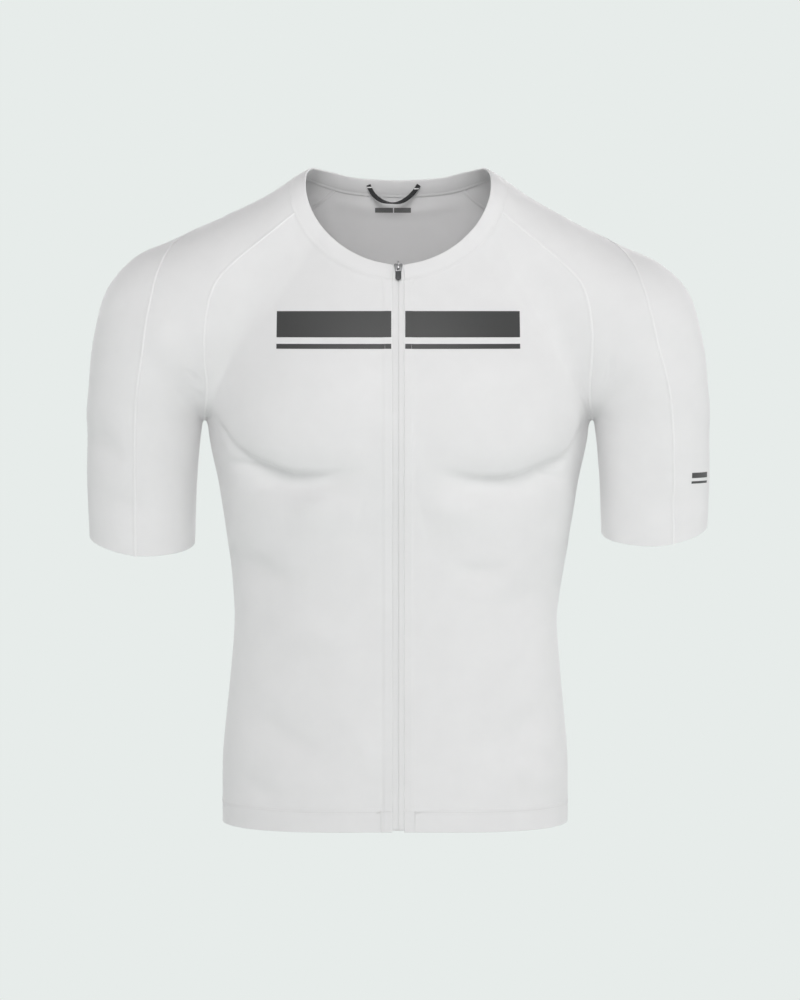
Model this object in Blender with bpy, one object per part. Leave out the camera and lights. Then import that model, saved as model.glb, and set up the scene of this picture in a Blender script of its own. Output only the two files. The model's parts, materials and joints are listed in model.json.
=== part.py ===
# Triathlon top: a short-sleeved top with a full front zip, in the form it takes when it is worn.
# Metres, +Z up. The wearer faces -Y and the wearer's left is at +X. The origin lies midway between the
# two highest points of the neck opening, where the top hangs on the wearer's shoulders.
import math

import bmesh
import bpy
import numpy as np
from mathutils import Matrix, Vector
from mathutils.bvhtree import BVHTree

# Driving dimensions

CLOTH = 0.0012
SEAM_GAP = 0.0003
COLLAR_WIDTH = 0.0155
HEM_HEIGHT = -0.6165
HEM_BAND = 0.020
HEM_DIP = 0.0035
ZIP_OPENING = 0.0110
ZIP_TAPE_REACH = 0.0145
ZIP_TAPE_EDGE = 0.0026
ZIP_TAPE_THICK = 0.0010
ZIP_COIL_WIDTH = 0.0044
ZIP_COIL_THICK = 0.0020
ZIP_COIL_SUNK = 0.0004

# The armpit's lowest line runs along Y through this point, on both sides.
ARMPIT_X = 0.1840
ARMPIT_Z = -0.2390
# Sections over the shoulder stand in planes that fan out from the armpit's line. "way" is the length
# along the fan at this radius, and below the armpit it is the drop, as a negative number.
FAN_RADIUS = 0.110
SECTION_POWER = 2.3
LIMB_POWER = 2.15

# Level sections of the body: half width, what the right side has more of it and the left side less, and
# depth from the middle to the front and to the back.
TORSO_COLUMNS = ("height", "half_width", "right_more", "front", "back")
TORSO = (
    (-0.640, 0.1645, 0.0030, 0.1060, 0.1170),
    (-0.600, 0.1645, 0.0030, 0.1060, 0.1170),
    (-0.556, 0.1640, 0.0030, 0.1050, 0.1120),
    (-0.510, 0.1599, 0.0028, 0.1040, 0.1000),
    (-0.465, 0.1556, 0.0026, 0.1035, 0.0890),
    (-0.425, 0.1532, 0.0024, 0.1040, 0.0860),
    (-0.385, 0.1570, 0.0010, 0.1060, 0.0910),
    (-0.345, 0.1630, 0.0000, 0.1100, 0.1010),
    (-0.300, 0.1700, 0.0000, 0.1185, 0.1120),
    (-0.250, 0.1795, 0.0000, 0.1250, 0.1220),
    (-0.200, 0.1780, 0.0000, 0.1185, 0.1265),
    (-0.150, 0.1700, 0.0000, 0.1030, 0.1220),
    (-0.110, 0.1560, 0.0000, 0.0860, 0.1090),
    (-0.070, 0.1330, 0.0000, 0.0705, 0.0905),
    (-0.038, 0.1100, 0.0000, 0.0630, 0.0765),
    (-0.012, 0.0850, 0.0000, 0.0590, 0.0650),
    (0.008, 0.0690, 0.0000, 0.0550, 0.0590),
    (0.044, 0.0500, 0.0000, 0.0500, 0.0530),
)

# Sections of sleeve and shoulder, from the cuff up to the neck: reach is from the armpit's line to the
# outer side, lower is what the right shoulder, which hangs a little lower, has more of it and the left
# less, and front and back are the depths of the section.
LIMB_COLUMNS = ("way", "reach", "lower", "root", "front", "back")
LIMB = (
    (-0.150, 0.1080, 0.0000, 0.0110, 0.0515, 0.0525),
    (-0.110, 0.1092, 0.0000, 0.0096, 0.0525, 0.0540),
    (-0.055, 0.1112, 0.0000, 0.0075, 0.0555, 0.0575),
    (0.000, 0.1112, 0.0000, 0.0035, 0.0590, 0.0620),
    (0.036, 0.1150, 0.0000, 0.0035, 0.0615, 0.0665),
    (0.074, 0.1318, 0.0005, 0.0035, 0.0640, 0.0710),
    (0.108, 0.1556, 0.0015, 0.0035, 0.0660, 0.0750),
    (0.129, 0.1642, 0.0030, 0.0035, 0.0670, 0.0775),
    (0.155, 0.1702, 0.0030, 0.0035, 0.0680, 0.0800),
    (0.184, 0.1912, 0.0025, 0.0035, 0.0680, 0.0830),
    (0.204, 0.2215, 0.0010, 0.0035, 0.0660, 0.0820),
    (0.217, 0.2545, 0.0000, 0.0035, 0.0620, 0.0780),
    (0.227, 0.2625, 0.0000, 0.0035, 0.0580, 0.0740),
)
LIMB_END_START = 0.227
LIMB_END_FINISH = 0.288

# How softly the sleeve runs into the body: sharp in the armpit, soft over the shoulder.
BLEND_COLUMNS = ("height", "width")
BLEND = (
    (-0.400, 0.014),
    (-0.235, 0.014),
    (-0.190, 0.020),
    (-0.120, 0.026),
    (0.040, 0.018),
)

# The largest soft folds and swells: a trough or, with a negative depth, a ridge along a bowed line on the
# front (face -1) or the back (face +1). The columns are face, x and z where the line starts and ends, the
# lift of its middle, depth and width.
FOLDS = (
    (-1, -0.172, -0.196, -0.008, -0.214, 0.010, -0.0052, 0.0420),
    (-1, 0.008, -0.214, 0.172, -0.196, 0.010, -0.0052, 0.0420),
    (1, -0.170, -0.168, -0.006, -0.150, 0.006, -0.0056, 0.0520),
    (1, 0.006, -0.150, 0.170, -0.168, 0.006, -0.0056, 0.0520),
    (-1, -0.166, -0.262, -0.050, -0.296, -0.016, 0.0034, 0.0120),
    (-1, 0.166, -0.266, 0.044, -0.300, -0.018, 0.0034, 0.0120),
    (-1, -0.150, -0.300, -0.098, -0.286, -0.004, 0.0016, 0.0080),
    (-1, 0.140, -0.292, 0.160, -0.360, 0.000, 0.0016, 0.0100),
    (1, -0.118, -0.420, 0.096, -0.404, -0.012, 0.0034, 0.0130),
    (1, -0.072, -0.462, 0.128, -0.450, -0.010, 0.0026, 0.0120),
    (1, 0.168, -0.262, 0.096, -0.322, -0.006, 0.0028, 0.0120),
    (1, -0.168, -0.258, -0.090, -0.330, -0.006, 0.0028, 0.0120),
)

# Seams and edges on the wearer's left, as points near the cloth's outer face.
NECK_EDGE = (
    (0.0052, -0.0780, -0.0935),
    (0.0270, -0.0750, -0.0885),
    (0.0550, -0.0670, -0.0730),
    (0.0745, -0.0560, -0.0525),
    (0.0842, -0.0410, -0.0310),
    (0.0850, -0.0220, -0.0125),
    (0.0825, 0.0000, 0.0010),
    (0.0790, 0.0200, 0.0030),
    (0.0670, 0.0400, -0.0005),
    (0.0450, 0.0550, -0.0070),
    (0.0200, 0.0620, -0.0092),
    (0.0000, 0.0640, -0.0097),
)
RAGLAN_FRONT = (
    (0.0987, -0.0450, -0.0486),
    (0.1228, -0.0560, -0.0660),
    (0.1560, -0.0640, -0.0930),
    (0.1700, -0.0670, -0.1100),
    (0.1780, -0.0680, -0.1400),
    (0.1802, -0.0620, -0.1790),
    (0.1790, -0.0480, -0.2060),
    (0.1815, -0.0260, -0.2300),
    (0.1840, 0.0000, -0.2390),
)
RAGLAN_BACK = (
    (0.0640, 0.0580, -0.0180),
    (0.1000, 0.0760, -0.0420),
    (0.1400, 0.0860, -0.0850),
    (0.1680, 0.0860, -0.1300),
    (0.1800, 0.0740, -0.1750),
    (0.1815, 0.0450, -0.2180),
    (0.1840, 0.0000, -0.2390),
)
OVERARM = (
    (0.0940, 0.0120, -0.0110),
    (0.1400, 0.0140, -0.0375),
    (0.1730, 0.0050, -0.0540),
    (0.2000, -0.0130, -0.0700),
    (0.2165, -0.0340, -0.0930),
    (0.2275, -0.0490, -0.1250),
    (0.2385, -0.0570, -0.1700),
    (0.2490, -0.0600, -0.2200),
    (0.2520, -0.0580, -0.2800),
    (0.2520, -0.0540, -0.3620),
)
# The overarm seams of the two sleeves lie a little to the wearer's left of where they would match.
OVERARM_SHIFT = 0.006
OVERARM_SHIFT_START = -0.120
OVERARM_SHIFT_END = -0.240
UNDERARM = (
    (0.1840, 0.0000, -0.2390),
    (0.1888, 0.0000, -0.2500),
    (0.1908, 0.0000, -0.2750),
    (0.1925, 0.0000, -0.3150),
    (0.1945, 0.0000, -0.3525),
)
SIDE_SEAM = (
    (0.1840, 0.0000, -0.2390),
    (0.1790, 0.0030, -0.2500),
    (0.1715, 0.0080, -0.2950),
    (0.1590, 0.0120, -0.3700),
    (0.1530, 0.0130, -0.4300),
    (0.1590, 0.0140, -0.5000),
    (0.1645, 0.0150, -0.5965),
)
CUFF_MIDDLE_X = 0.2440
CUFF_HEIGHT = {-1: -0.3565, 1: -0.3470}
CUFF_TILT = 0.165
CUFF_RISE = 0.009
CUFF_RISE_WIDTH = 0.050
# The middle line of sleeve and shoulder, x and z, from the neck to the cuff.
LIMB_MIDDLE = (
    (0.0700, -0.0560),
    (0.1150, -0.0760),
    (0.1600, -0.1030),
    (0.2000, -0.1340),
    (0.2260, -0.1750),
    (0.2380, -0.2250),
    (0.2420, -0.2900),
    (0.2440, -0.3600),
)

# Height on the middle of front and back where the rows beside the armholes end and those of the sides start
ARMPIT_LEVEL = -0.2510

# Rows and columns of the panels
RAGLAN_ROWS = 16
SIDE_ROWS = 24
SLEEVE_ROWS = 10
FRONT_COLUMNS = 13
BACK_COLUMNS = 11
SLEEVE_FRONT_COLUMNS = 7
SLEEVE_BACK_COLUMNS = 13
COLLAR_ROWS = 3
HEM_ROWS = 3
ZIP_STRIP = 0.070

# Zip slider and pull
COIL_SHORTEST = 0.004
SLIDER_WIDTH = 0.0082
SLIDER_LENGTH = 0.0088
SLIDER_DROP = 0.0040
SLIDER_PROUD = 0.0018
SLIDER_SUNK = 0.0010
SLIDER_EDGE = 0.0008
PIN_RADIUS = 0.0007
PIN_CLEAR = 0.0003
PIN_UP = 0.0005
ARCH_WIDTH = 0.0022
ARCH_LEG = 0.0010
PULL_WIDTH = 0.0054
PULL_ARM = 0.0012
PULL_WINDOW = 0.0035
PULL_LENGTH = 0.0130
PULL_THICK = 0.0012

# Hanger loop: a flat tape in a V, x and z of its middle line
LOOP_LINE = (
    (-0.0300, -0.0150),
    (-0.0220, -0.0205),
    (-0.0130, -0.0270),
    (-0.0060, -0.0318),
    (-0.0010, -0.0335),
    (0.0040, -0.0315),
    (0.0090, -0.0260),
    (0.0145, -0.0195),
    (0.0190, -0.0150),
)
LOOP_WIDTH = 0.0045
LOOP_THICK = 0.0009

SIDES = (("right", -1), ("left", 1))


# Smooth curves through a table's rows

def smooth_curve(xs, ys):
    xs, ys = np.array(xs, float), np.array(ys, float)
    slopes = np.gradient(ys, xs)

    def at(x):
        x = np.clip(x, xs[0], xs[-1])
        i = np.clip(np.searchsorted(xs, x, side="right") - 1, 0, len(xs) - 2)
        step = xs[i + 1] - xs[i]
        t = (x - xs[i]) / step
        ends = (1 + 2 * t) * (1 - t) ** 2 * ys[i] + t * t * (3 - 2 * t) * ys[i + 1]
        return ends + step * t * (1 - t) * ((1 - t) * slopes[i] - t * slopes[i + 1])

    return at


def table_curves(columns, rows):
    by_name = dict(zip(columns, zip(*rows)))
    return {name: smooth_curve(by_name[columns[0]], by_name[name]) for name in columns[1:]}


TORSO_AT = table_curves(TORSO_COLUMNS, TORSO)
LIMB_AT = table_curves(LIMB_COLUMNS, LIMB)
BLEND_AT = table_curves(BLEND_COLUMNS, BLEND)


# The garment's outer face, as the zero of a size in metres that is negative inside it. Points are in
# a half frame where x runs outward on one side; world x is side * x.

def oval_gap(u, v, half_u, half_v, power):
    u, v = np.abs(u) + 1e-9, np.abs(v)
    reach = ((u / half_u) ** power + (v / half_v) ** power) ** (1 / power)
    return np.hypot(u, v) * (1 - 1 / reach)


def torso_gap(x, y, z, side):
    half_width = TORSO_AT["half_width"](z) - side * TORSO_AT["right_more"](z)
    depth = np.where(y < 0, TORSO_AT["front"](z), TORSO_AT["back"](z))
    return oval_gap(x, y, half_width, depth, SECTION_POWER)


def limb_gap(x, y, z, side):
    out, up = x - ARMPIT_X, z - ARMPIT_Z
    hanging = (up < 0) & (out >= 0)
    turn = np.arctan2(up, out) % (2 * math.pi)
    far = np.where(hanging, out, np.hypot(out, up))
    way = np.where(hanging, up, turn * FAN_RADIUS)
    reach, root = LIMB_AT["reach"](way) - side * LIMB_AT["lower"](way), LIMB_AT["root"](way)
    depth = np.where(y < 0, LIMB_AT["front"](way), LIMB_AT["back"](way))
    gap = oval_gap(far - (reach + root) / 2, y, (reach - root) / 2, depth, LIMB_POWER)
    t = np.clip((way - LIMB_END_START) / (LIMB_END_FINISH - LIMB_END_START), 0, 1)
    fade = t * t * (3 - 2 * t)
    return gap * (1 - fade) + (np.hypot(out, up) + root) * fade


def fold_gap(x, y, z):
    total = np.zeros_like(x)
    for face, x0, z0, x1, z1, bow, depth, width in FOLDS:
        length2 = (x1 - x0) ** 2 + (z1 - z0) ** 2
        t = np.clip(((x - x0) * (x1 - x0) + (z - z0) * (z1 - z0)) / length2, 0, 1)
        swell = np.sin(math.pi * t)
        off = np.hypot(x - x0 - t * (x1 - x0), z - z0 - t * (z1 - z0) - bow * swell)
        on_face = np.where(face * y > 0, 1.0, 0.0)
        total += on_face * depth * swell ** 1.4 * np.exp(-(off / width) ** 2)
    return total


def garment_gap(points, side=1):
    shape = points.shape[:-1]
    flat = points.reshape(-1, 3)
    x, y, z = np.abs(flat[:, 0]), flat[:, 1], flat[:, 2]
    body, arm = torso_gap(x, y, z, side), limb_gap(x, y, z, side)
    soft = BLEND_AT["width"](z)
    near = np.clip(soft - np.abs(body - arm), 0, None) / soft
    gap = np.minimum(body, arm) - near * near * soft / 4
    return (gap + fold_gap(side * flat[:, 0], y, z)).reshape(shape)


def outward(points, side=1):
    step = 0.0004
    parts = []
    for axis in np.eye(3):
        parts.append(garment_gap(points + step * axis, side) - garment_gap(points - step * axis, side))
    slope = np.stack(parts, axis=-1) / (2 * step)
    return slope / np.linalg.norm(slope, axis=-1, keepdims=True), np.linalg.norm(slope, axis=-1)


def onto_garment(points, side=1, rounds=14):
    most = 0.003
    for _ in range(rounds):
        normal, steep = outward(points, side)
        move = np.clip(garment_gap(points, side) / np.maximum(steep, 0.2), -most, most)
        points = points - normal * move[..., None]
    return points


def limb_alone(points, side):
    return limb_gap(np.abs(points[..., 0]), points[..., 1], points[..., 2], side)


def cast(start, direction, side=1, gap=garment_gap, near=0.006, far=0.300, steps=72, rounds=18):
    """First place where each ray leaves the garment, or the form that gap describes."""
    reach = np.linspace(near, far, steps)
    along = start[..., None, :] + direction[..., None, :] * reach[:, None]
    outside = gap(along, side) > 0
    first = np.maximum(np.argmax(outside, axis=-1), 1)
    low, high = reach[first - 1], reach[first]
    for _ in range(rounds):
        middle = (low + high) / 2
        out = gap(start + direction * middle[..., None], side) > 0
        low, high = np.where(out, low, middle), np.where(out, middle, high)
    return start + direction * ((low + high) / 2)[..., None]


# Lines on the garment

def arc_fractions(line):
    steps = np.linalg.norm(np.diff(line, axis=0), axis=1)
    way = np.concatenate([[0], np.cumsum(steps)])
    return way / way[-1], way[-1]


def sample(line, fractions):
    way, _ = arc_fractions(line)
    return np.stack([np.interp(fractions, way, line[:, k]) for k in range(3)], axis=-1)


def surface_line(points, side, count=240, first=None):
    points = np.array(points, float)
    if first is not None:
        points[0] = first
    way, _ = arc_fractions(points)
    dense = np.linspace(0, 1, count)
    line = np.stack([smooth_curve(way, points[:, k])(dense) for k in range(3)], axis=-1)
    return sample(onto_garment(line, side), dense)


def tangents(line):
    flow = np.gradient(line, axis=0)
    return flow / np.linalg.norm(flow, axis=1, keepdims=True)


def beside(line, side, distance, steps=10):
    """The line moved along the cloth by a distance, away from the opening that it goes round."""
    line = line.copy()
    for _ in range(steps):
        normal, _ = outward(line, side)
        across = np.cross(tangents(line), normal)
        across /= np.linalg.norm(across, axis=1, keepdims=True)
        line = onto_garment(line + across * distance / steps, side, rounds=3)
    return line


def from_zip(line, x):
    """The line from the place where it is x away from the middle of the front."""
    first = np.argmax(line[:, 0] > x)
    before, after = line[max(first - 1, 0)], line[first]
    if after[0] == before[0]:
        before = line[0] + (line[0] - line[1]) * 8
        after = line[0]
    share = (x - before[0]) / (after[0] - before[0])
    return np.concatenate([[before + (after - before) * share], line[first:]])


def nearest_fraction(line, point):
    way, _ = arc_fractions(line)
    return way[np.argmin(np.linalg.norm(line - np.array(point), axis=1))]


# Grids of outer points, for one side in its half frame

def fill(top, bottom, start, end, columns, rows):
    """Interior of a patch from its four edges, in any coordinates: rows x columns x values."""
    u, v = columns[None, :, None], rows[:, None, None]
    across = (1 - u) * start[:, None, :] + u * end[:, None, :]
    above = top[None] - ((1 - u) * start[0] + u * end[0])
    below = bottom[None] - ((1 - u) * start[-1] + u * end[-1])
    return across + (1 - v) * above + v * below


def turn_and_height(points):
    return np.stack([np.arctan2(points[..., 0], -points[..., 1]), points[..., 2]], axis=-1)


def from_turn_and_height(places, side):
    turn, height = places[..., 0], places[..., 1]
    zero = np.zeros_like(turn)
    start = np.stack([zero, zero, height], axis=-1)
    return cast(start, np.stack([np.sin(turn), -np.cos(turn), zero], axis=-1), side)


def body_grid(top, bottom, start, end, columns, side):
    rows = np.linspace(0, 1, len(start))
    edges = [turn_and_height(edge) for edge in (top, bottom, start, end)]
    grid = from_turn_and_height(fill(*edges, columns, rows), side)
    grid[0], grid[-1], grid[:, 0], grid[:, -1] = top, bottom, start, end
    return grid


def limb_frames(start, end):
    """For each row, a middle point inside the limb and the outward and lengthwise directions there."""
    middle = np.array(LIMB_MIDDLE)
    way = np.linspace(0, 1, len(middle))
    dense = np.linspace(0, 1, 200)
    line = np.stack([smooth_curve(way, middle[:, k])(dense) for k in range(2)], axis=-1)
    flow = np.gradient(line, axis=0)
    flow /= np.linalg.norm(flow, axis=1, keepdims=True)
    between = (start + end)[:, [0, 2]] / 2
    nearest = np.argmin(np.linalg.norm(line[None] - between[:, None], axis=2), axis=1)
    nearest = np.maximum.accumulate(nearest)
    soft = np.convolve(np.pad(nearest, 2, mode="edge"), np.ones(5) / 5, mode="valid").round().astype(int)
    zero = np.zeros(len(soft))
    centre = np.stack([line[soft, 0], zero, line[soft, 1]], axis=-1)
    length = np.stack([flow[soft, 0], zero, flow[soft, 1]], axis=-1)
    out = np.stack([-length[:, 2], zero, length[:, 0]], axis=-1)
    return centre, out, length


def limb_angles(points, frames, past):
    """Turn round the limb from its outer side over the front, and tilt along it."""
    centre, out, length = frames
    way = points - centre
    way = way / np.linalg.norm(way, axis=-1, keepdims=True)
    a, b = (way * out).sum(-1), -way[..., 1]
    c = (way * length).sum(-1)
    turn = past + (np.arctan2(b, a) - past) % (2 * math.pi)
    return np.stack([turn, np.arcsin(np.clip(c, -1, 1))], axis=-1)


def limb_grid(top, bottom, start, end, columns, side, past):
    rows = np.linspace(0, 1, len(start))
    frames = limb_frames(start, end)
    first = tuple(part[0] for part in frames)
    last = tuple(part[-1] for part in frames)
    edges = [limb_angles(top, first, past), limb_angles(bottom, last, past)]
    edges += [limb_angles(start, frames, past), limb_angles(end, frames, past)]
    angles = fill(*edges, columns, rows)
    turn, tilt = angles[..., 0:1], angles[..., 1:2]
    centre, out, length = (part[:, None, :] for part in frames)
    front = np.array([0.0, -1.0, 0.0])
    ray = np.cos(tilt) * (np.cos(turn) * out + np.sin(turn) * front) + np.sin(tilt) * length
    grid = onto_garment(cast(np.broadcast_to(centre, ray.shape), ray, side, gap=limb_alone), side)
    grid[0], grid[-1], grid[:, 0], grid[:, -1] = top, bottom, start, end
    return grid


def cuff_points(turns, side):
    height = np.full(len(turns), CUFF_HEIGHT[side])
    zero = np.zeros(len(turns))
    ray = np.stack([np.cos(turns), -np.sin(turns), zero], axis=-1)
    for _ in range(4):
        start = np.stack([zero + CUFF_MIDDLE_X, zero, height], axis=-1)
        points = cast(start, ray, side, gap=limb_alone)
        outer = np.clip((points[:, 0] - CUFF_MIDDLE_X) / CUFF_RISE_WIDTH, 0, None)
        height = CUFF_HEIGHT[side] + CUFF_TILT * points[:, 1] + CUFF_RISE * outer ** 1.2
    return points


def cuff_turn(point):
    return math.atan2(-point[1], point[0] - CUFF_MIDDLE_X) % (2 * math.pi)


def overarm_points(side):
    points = np.array(OVERARM)
    share = (points[:, 2] - OVERARM_SHIFT_START) / (OVERARM_SHIFT_END - OVERARM_SHIFT_START)
    points[:, 0] += side * OVERARM_SHIFT * np.clip(share, 0, 1)
    return points


def seams(side):
    """Every seam and edge of one side, as dense lines, and where the panels' corners lie on the collar."""
    neck = surface_line(NECK_EDGE, side)
    collar = from_zip(beside(neck, side, COLLAR_WIDTH), ZIP_OPENING / 2)
    neck[-1, 0] = collar[-1, 0] = 0.0
    shares = {
        "front": nearest_fraction(collar, RAGLAN_FRONT[0]),
        "over": nearest_fraction(collar, OVERARM[0]),
        "back": nearest_fraction(collar, RAGLAN_BACK[0]),
    }
    start = {name: sample(collar, np.array([share]))[0] for name, share in shares.items()}
    lines = {
        "raglan_front": surface_line(RAGLAN_FRONT, side, first=start["front"]),
        "raglan_back": surface_line(RAGLAN_BACK, side, first=start["back"]),
        "overarm": surface_line(overarm_points(side), side, first=start["over"]),
        "underarm": surface_line(UNDERARM, side),
        "side": surface_line(SIDE_SEAM, side),
    }
    return neck, collar, shares, lines


def panel_grids(side):
    neck, collar, shares, lines = seams(side)
    front_columns = np.concatenate([[0], np.linspace(ZIP_STRIP, 1, FRONT_COLUMNS - 1)])
    back_columns = np.linspace(0, 1, BACK_COLUMNS)
    sleeve_front_columns = np.linspace(0, 1, SLEEVE_FRONT_COLUMNS)
    sleeve_back_columns = np.linspace(0, 1, SLEEVE_BACK_COLUMNS)

    def collar_part(first, last, columns):
        return sample(collar, first + (last - first) * columns)

    tops = {
        "front": collar_part(0, shares["front"], front_columns),
        "sleeve_front": collar_part(shares["front"], shares["over"], sleeve_front_columns),
        "sleeve_back": collar_part(shares["over"], shares["back"], sleeve_back_columns),
        "back": collar_part(shares["back"], 1, back_columns),
    }

    # Rows are closer together under the chest and the arms, where the form changes most.
    raglan_steps = np.linspace(0, 1, RAGLAN_ROWS + 1)
    side_steps = np.linspace(0, 1, SIDE_ROWS + 1) ** 1.25
    under_steps = np.linspace(0, 1, SLEEVE_ROWS + 1)
    armpit = onto_garment(np.array([[ARMPIT_X, 0.0, ARMPIT_Z]]), side)[0]
    joint = {
        "raglan_front": sample(lines["raglan_front"], raglan_steps),
        "raglan_back": sample(lines["raglan_back"], raglan_steps),
        "side": sample(lines["side"], side_steps),
        "underarm": sample(lines["underarm"], under_steps),
    }
    joint["raglan_front"][-1] = joint["raglan_back"][-1] = armpit
    joint["side"][0] = joint["underarm"][0] = armpit
    front_edge = np.concatenate([joint["raglan_front"], joint["side"][1:]])
    back_edge = np.concatenate([joint["raglan_back"], joint["side"][1:]])

    # Cuff: the underarm and overarm seams end on it.
    over_turn = cuff_turn(lines["overarm"][-1])
    under_turn = math.pi
    front_turns = under_turn + (over_turn - under_turn) * sleeve_front_columns
    back_turns = over_turn + (under_turn - 2 * math.pi - over_turn) * sleeve_back_columns
    cuff_front, cuff_back = cuff_points(front_turns, side), cuff_points(back_turns, side)
    joint["underarm"][-1] = cuff_front[0]
    cuff_back[-1] = cuff_front[0]
    overarm = sample(lines["overarm"], np.linspace(0, 1, RAGLAN_ROWS + SLEEVE_ROWS + 1))
    overarm[-1] = cuff_front[-1]
    cuff_back[0] = cuff_front[-1]
    sleeve_front_edge = np.concatenate([joint["raglan_front"], joint["underarm"][1:]])
    sleeve_back_edge = np.concatenate([joint["raglan_back"], joint["underarm"][1:]])

    # Zip edge and hem
    hem_line = HEM_HEIGHT + HEM_BAND
    below = (ARMPIT_LEVEL + (hem_line - ARMPIT_LEVEL) * side_steps)[1:]

    def middle_heights(top):
        return np.concatenate([top + (ARMPIT_LEVEL - top) * raglan_steps, below])

    heights = middle_heights(tops["front"][0, 2])
    turn = np.zeros(len(heights))
    for _ in range(4):
        zip_edge = from_turn_and_height(np.stack([turn, heights], axis=-1), side)
        turn = np.arctan2(ZIP_OPENING / 2, -zip_edge[:, 1])
    zip_edge[0] = tops["front"][0]
    heights = middle_heights(tops["back"][-1, 2])
    back_turn = np.full(len(heights), math.pi)
    back_middle = from_turn_and_height(np.stack([back_turn, heights], axis=-1), side)
    back_middle[0] = tops["back"][-1]
    side_turn = turn_and_height(joint["side"][-1])[0]

    def hem_points(turns, height=hem_line):
        heights = height - HEM_DIP * np.sin(turns) ** 2
        return from_turn_and_height(np.stack([turns, heights], axis=-1), side)

    front_hem = hem_points(turn[-1] + (side_turn - turn[-1]) * front_columns)
    back_hem = hem_points(side_turn + (math.pi - side_turn) * back_columns)
    front_edge[-1] = back_edge[-1] = front_hem[-1] = back_hem[0]

    grids = {
        "front": body_grid(tops["front"], front_hem, zip_edge, front_edge, front_columns, side),
        "back": body_grid(tops["back"], back_hem, back_edge, back_middle, back_columns, side),
        "sleeve_front": limb_grid(tops["sleeve_front"], cuff_front, sleeve_front_edge, overarm,
                                  sleeve_front_columns, side, past=-math.pi * 0.6),
        "sleeve_back": limb_grid(tops["sleeve_back"][::-1], cuff_back[::-1], sleeve_back_edge, overarm,
                                 sleeve_back_columns, side, past=-math.pi * 1.35),
    }

    # Collar, from the seam up to the neck edge, and hem band, from the seam down to the hem
    parts = [tops["front"], tops["sleeve_front"][1:], tops["sleeve_back"][1:], tops["back"][1:]]
    collar_seam = np.concatenate(parts)
    fractions = np.array([nearest_fraction(collar, point) for point in collar_seam])
    neck_edge = sample(neck, fractions)
    lift = np.linspace(0, 1, COLLAR_ROWS)[:, None, None]
    grids["collar"] = onto_garment(neck_edge * (1 - lift) + collar_seam * lift, side)
    hem_seam = np.concatenate([front_hem, back_hem[1:]])
    hem_turns = turn_and_height(hem_seam)[:, 0]
    hem_rows = [hem_seam]
    for height in np.linspace(hem_line, HEM_HEIGHT, HEM_ROWS)[1:]:
        hem_rows.append(hem_points(hem_turns, height))
    grids["hem"] = np.stack(hem_rows)
    return grids


# Closed walls from grids of outer points

def to_world(grid, side):
    return grid * np.array([side, 1.0, 1.0])


def world_normals(grid, side):
    """Outward directions in the half frame, for a grid on the garment."""
    return outward(grid, side)[0]


def shrink(grid, normals, free, amount=SEAM_GAP / 2):
    """Moves the grid's sewn edges in along the cloth. free names the edges that stay."""
    moved = grid.copy()
    edges = (
        ("top", grid[0], grid[1], normals[0], (0, slice(None))),
        ("bottom", grid[-1], grid[-2], normals[-1], (-1, slice(None))),
        ("start", grid[:, 0], grid[:, 1], normals[:, 0], (slice(None), 0)),
        ("end", grid[:, -1], grid[:, -2], normals[:, -1], (slice(None), -1)),
    )
    for name, edge, inner, normal, place in edges:
        if name in free:
            continue
        across = np.cross(tangents(edge), normal)
        across /= np.linalg.norm(across, axis=1, keepdims=True)
        toward = np.sign(((inner - edge) * across).sum(axis=1, keepdims=True))
        moved[place] += across * toward * amount
    return moved


def wall_mesh(name, outer, inner):
    """A closed wall between two grids of the same size."""
    rows, columns = outer.shape[:2]
    count = rows * columns
    points = np.concatenate([outer.reshape(-1, 3), inner.reshape(-1, 3)])
    faces = []
    for i in range(rows - 1):
        for j in range(columns - 1):
            a = i * columns + j
            b, c, d = a + 1, a + columns + 1, a + columns
            faces += [(a, b, c), (a, c, d)]
            faces += [(count + a, count + c, count + b), (count + a, count + d, count + c)]
    rim = [i * columns for i in range(rows)]
    rim += [(rows - 1) * columns + j for j in range(1, columns)]
    rim += [i * columns + columns - 1 for i in range(rows - 2, -1, -1)]
    rim += [j for j in range(columns - 2, 0, -1)]
    for k, a in enumerate(rim):
        b = rim[(k + 1) % len(rim)]
        faces += [(a, b, count + b), (a, count + b, count + a)]
    mesh = bpy.data.meshes.new(name)
    mesh.from_pydata([tuple(point) for point in points], [], faces)
    model = bmesh.new()
    model.from_mesh(mesh)
    bmesh.ops.recalc_face_normals(model, faces=model.faces)
    model.to_mesh(mesh)
    model.free()
    mesh.shade_smooth()
    mesh.set_sharp_from_angle(angle=math.radians(40))
    return mesh


def add_object(name, mesh, material, parent=None):
    thing = bpy.data.objects.new(name, mesh)
    mesh.materials.append(material)
    bpy.context.collection.objects.link(thing)
    thing.parent = parent
    return thing


def cloth_panel(name, halves, material, free=()):
    """A wall of cloth from one grid, or from a right and a left grid that meet in the middle."""
    outers, inners = [], []
    for side, grid in halves:
        normals = world_normals(grid, side)
        outer = shrink(grid, normals, free)
        outers.append(to_world(outer, side))
        inners.append(to_world(outer - normals * CLOTH, side))
    return add_object(name, wall_mesh(name, join_halves(outers), join_halves(inners)), material)


def join_halves(parts):
    if len(parts) == 1:
        return parts[0]
    right, left = parts
    return np.concatenate([right[:, :-1], left[:, ::-1]], axis=1)


# Zip

def zip_edges(grids):
    """Outer points of the front's two columns beside the zip, from the neck edge down to the hem."""
    return np.concatenate([grids["collar"][:-1, :2], grids["front"][:, :2], grids["hem"][1:, :2]])


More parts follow.
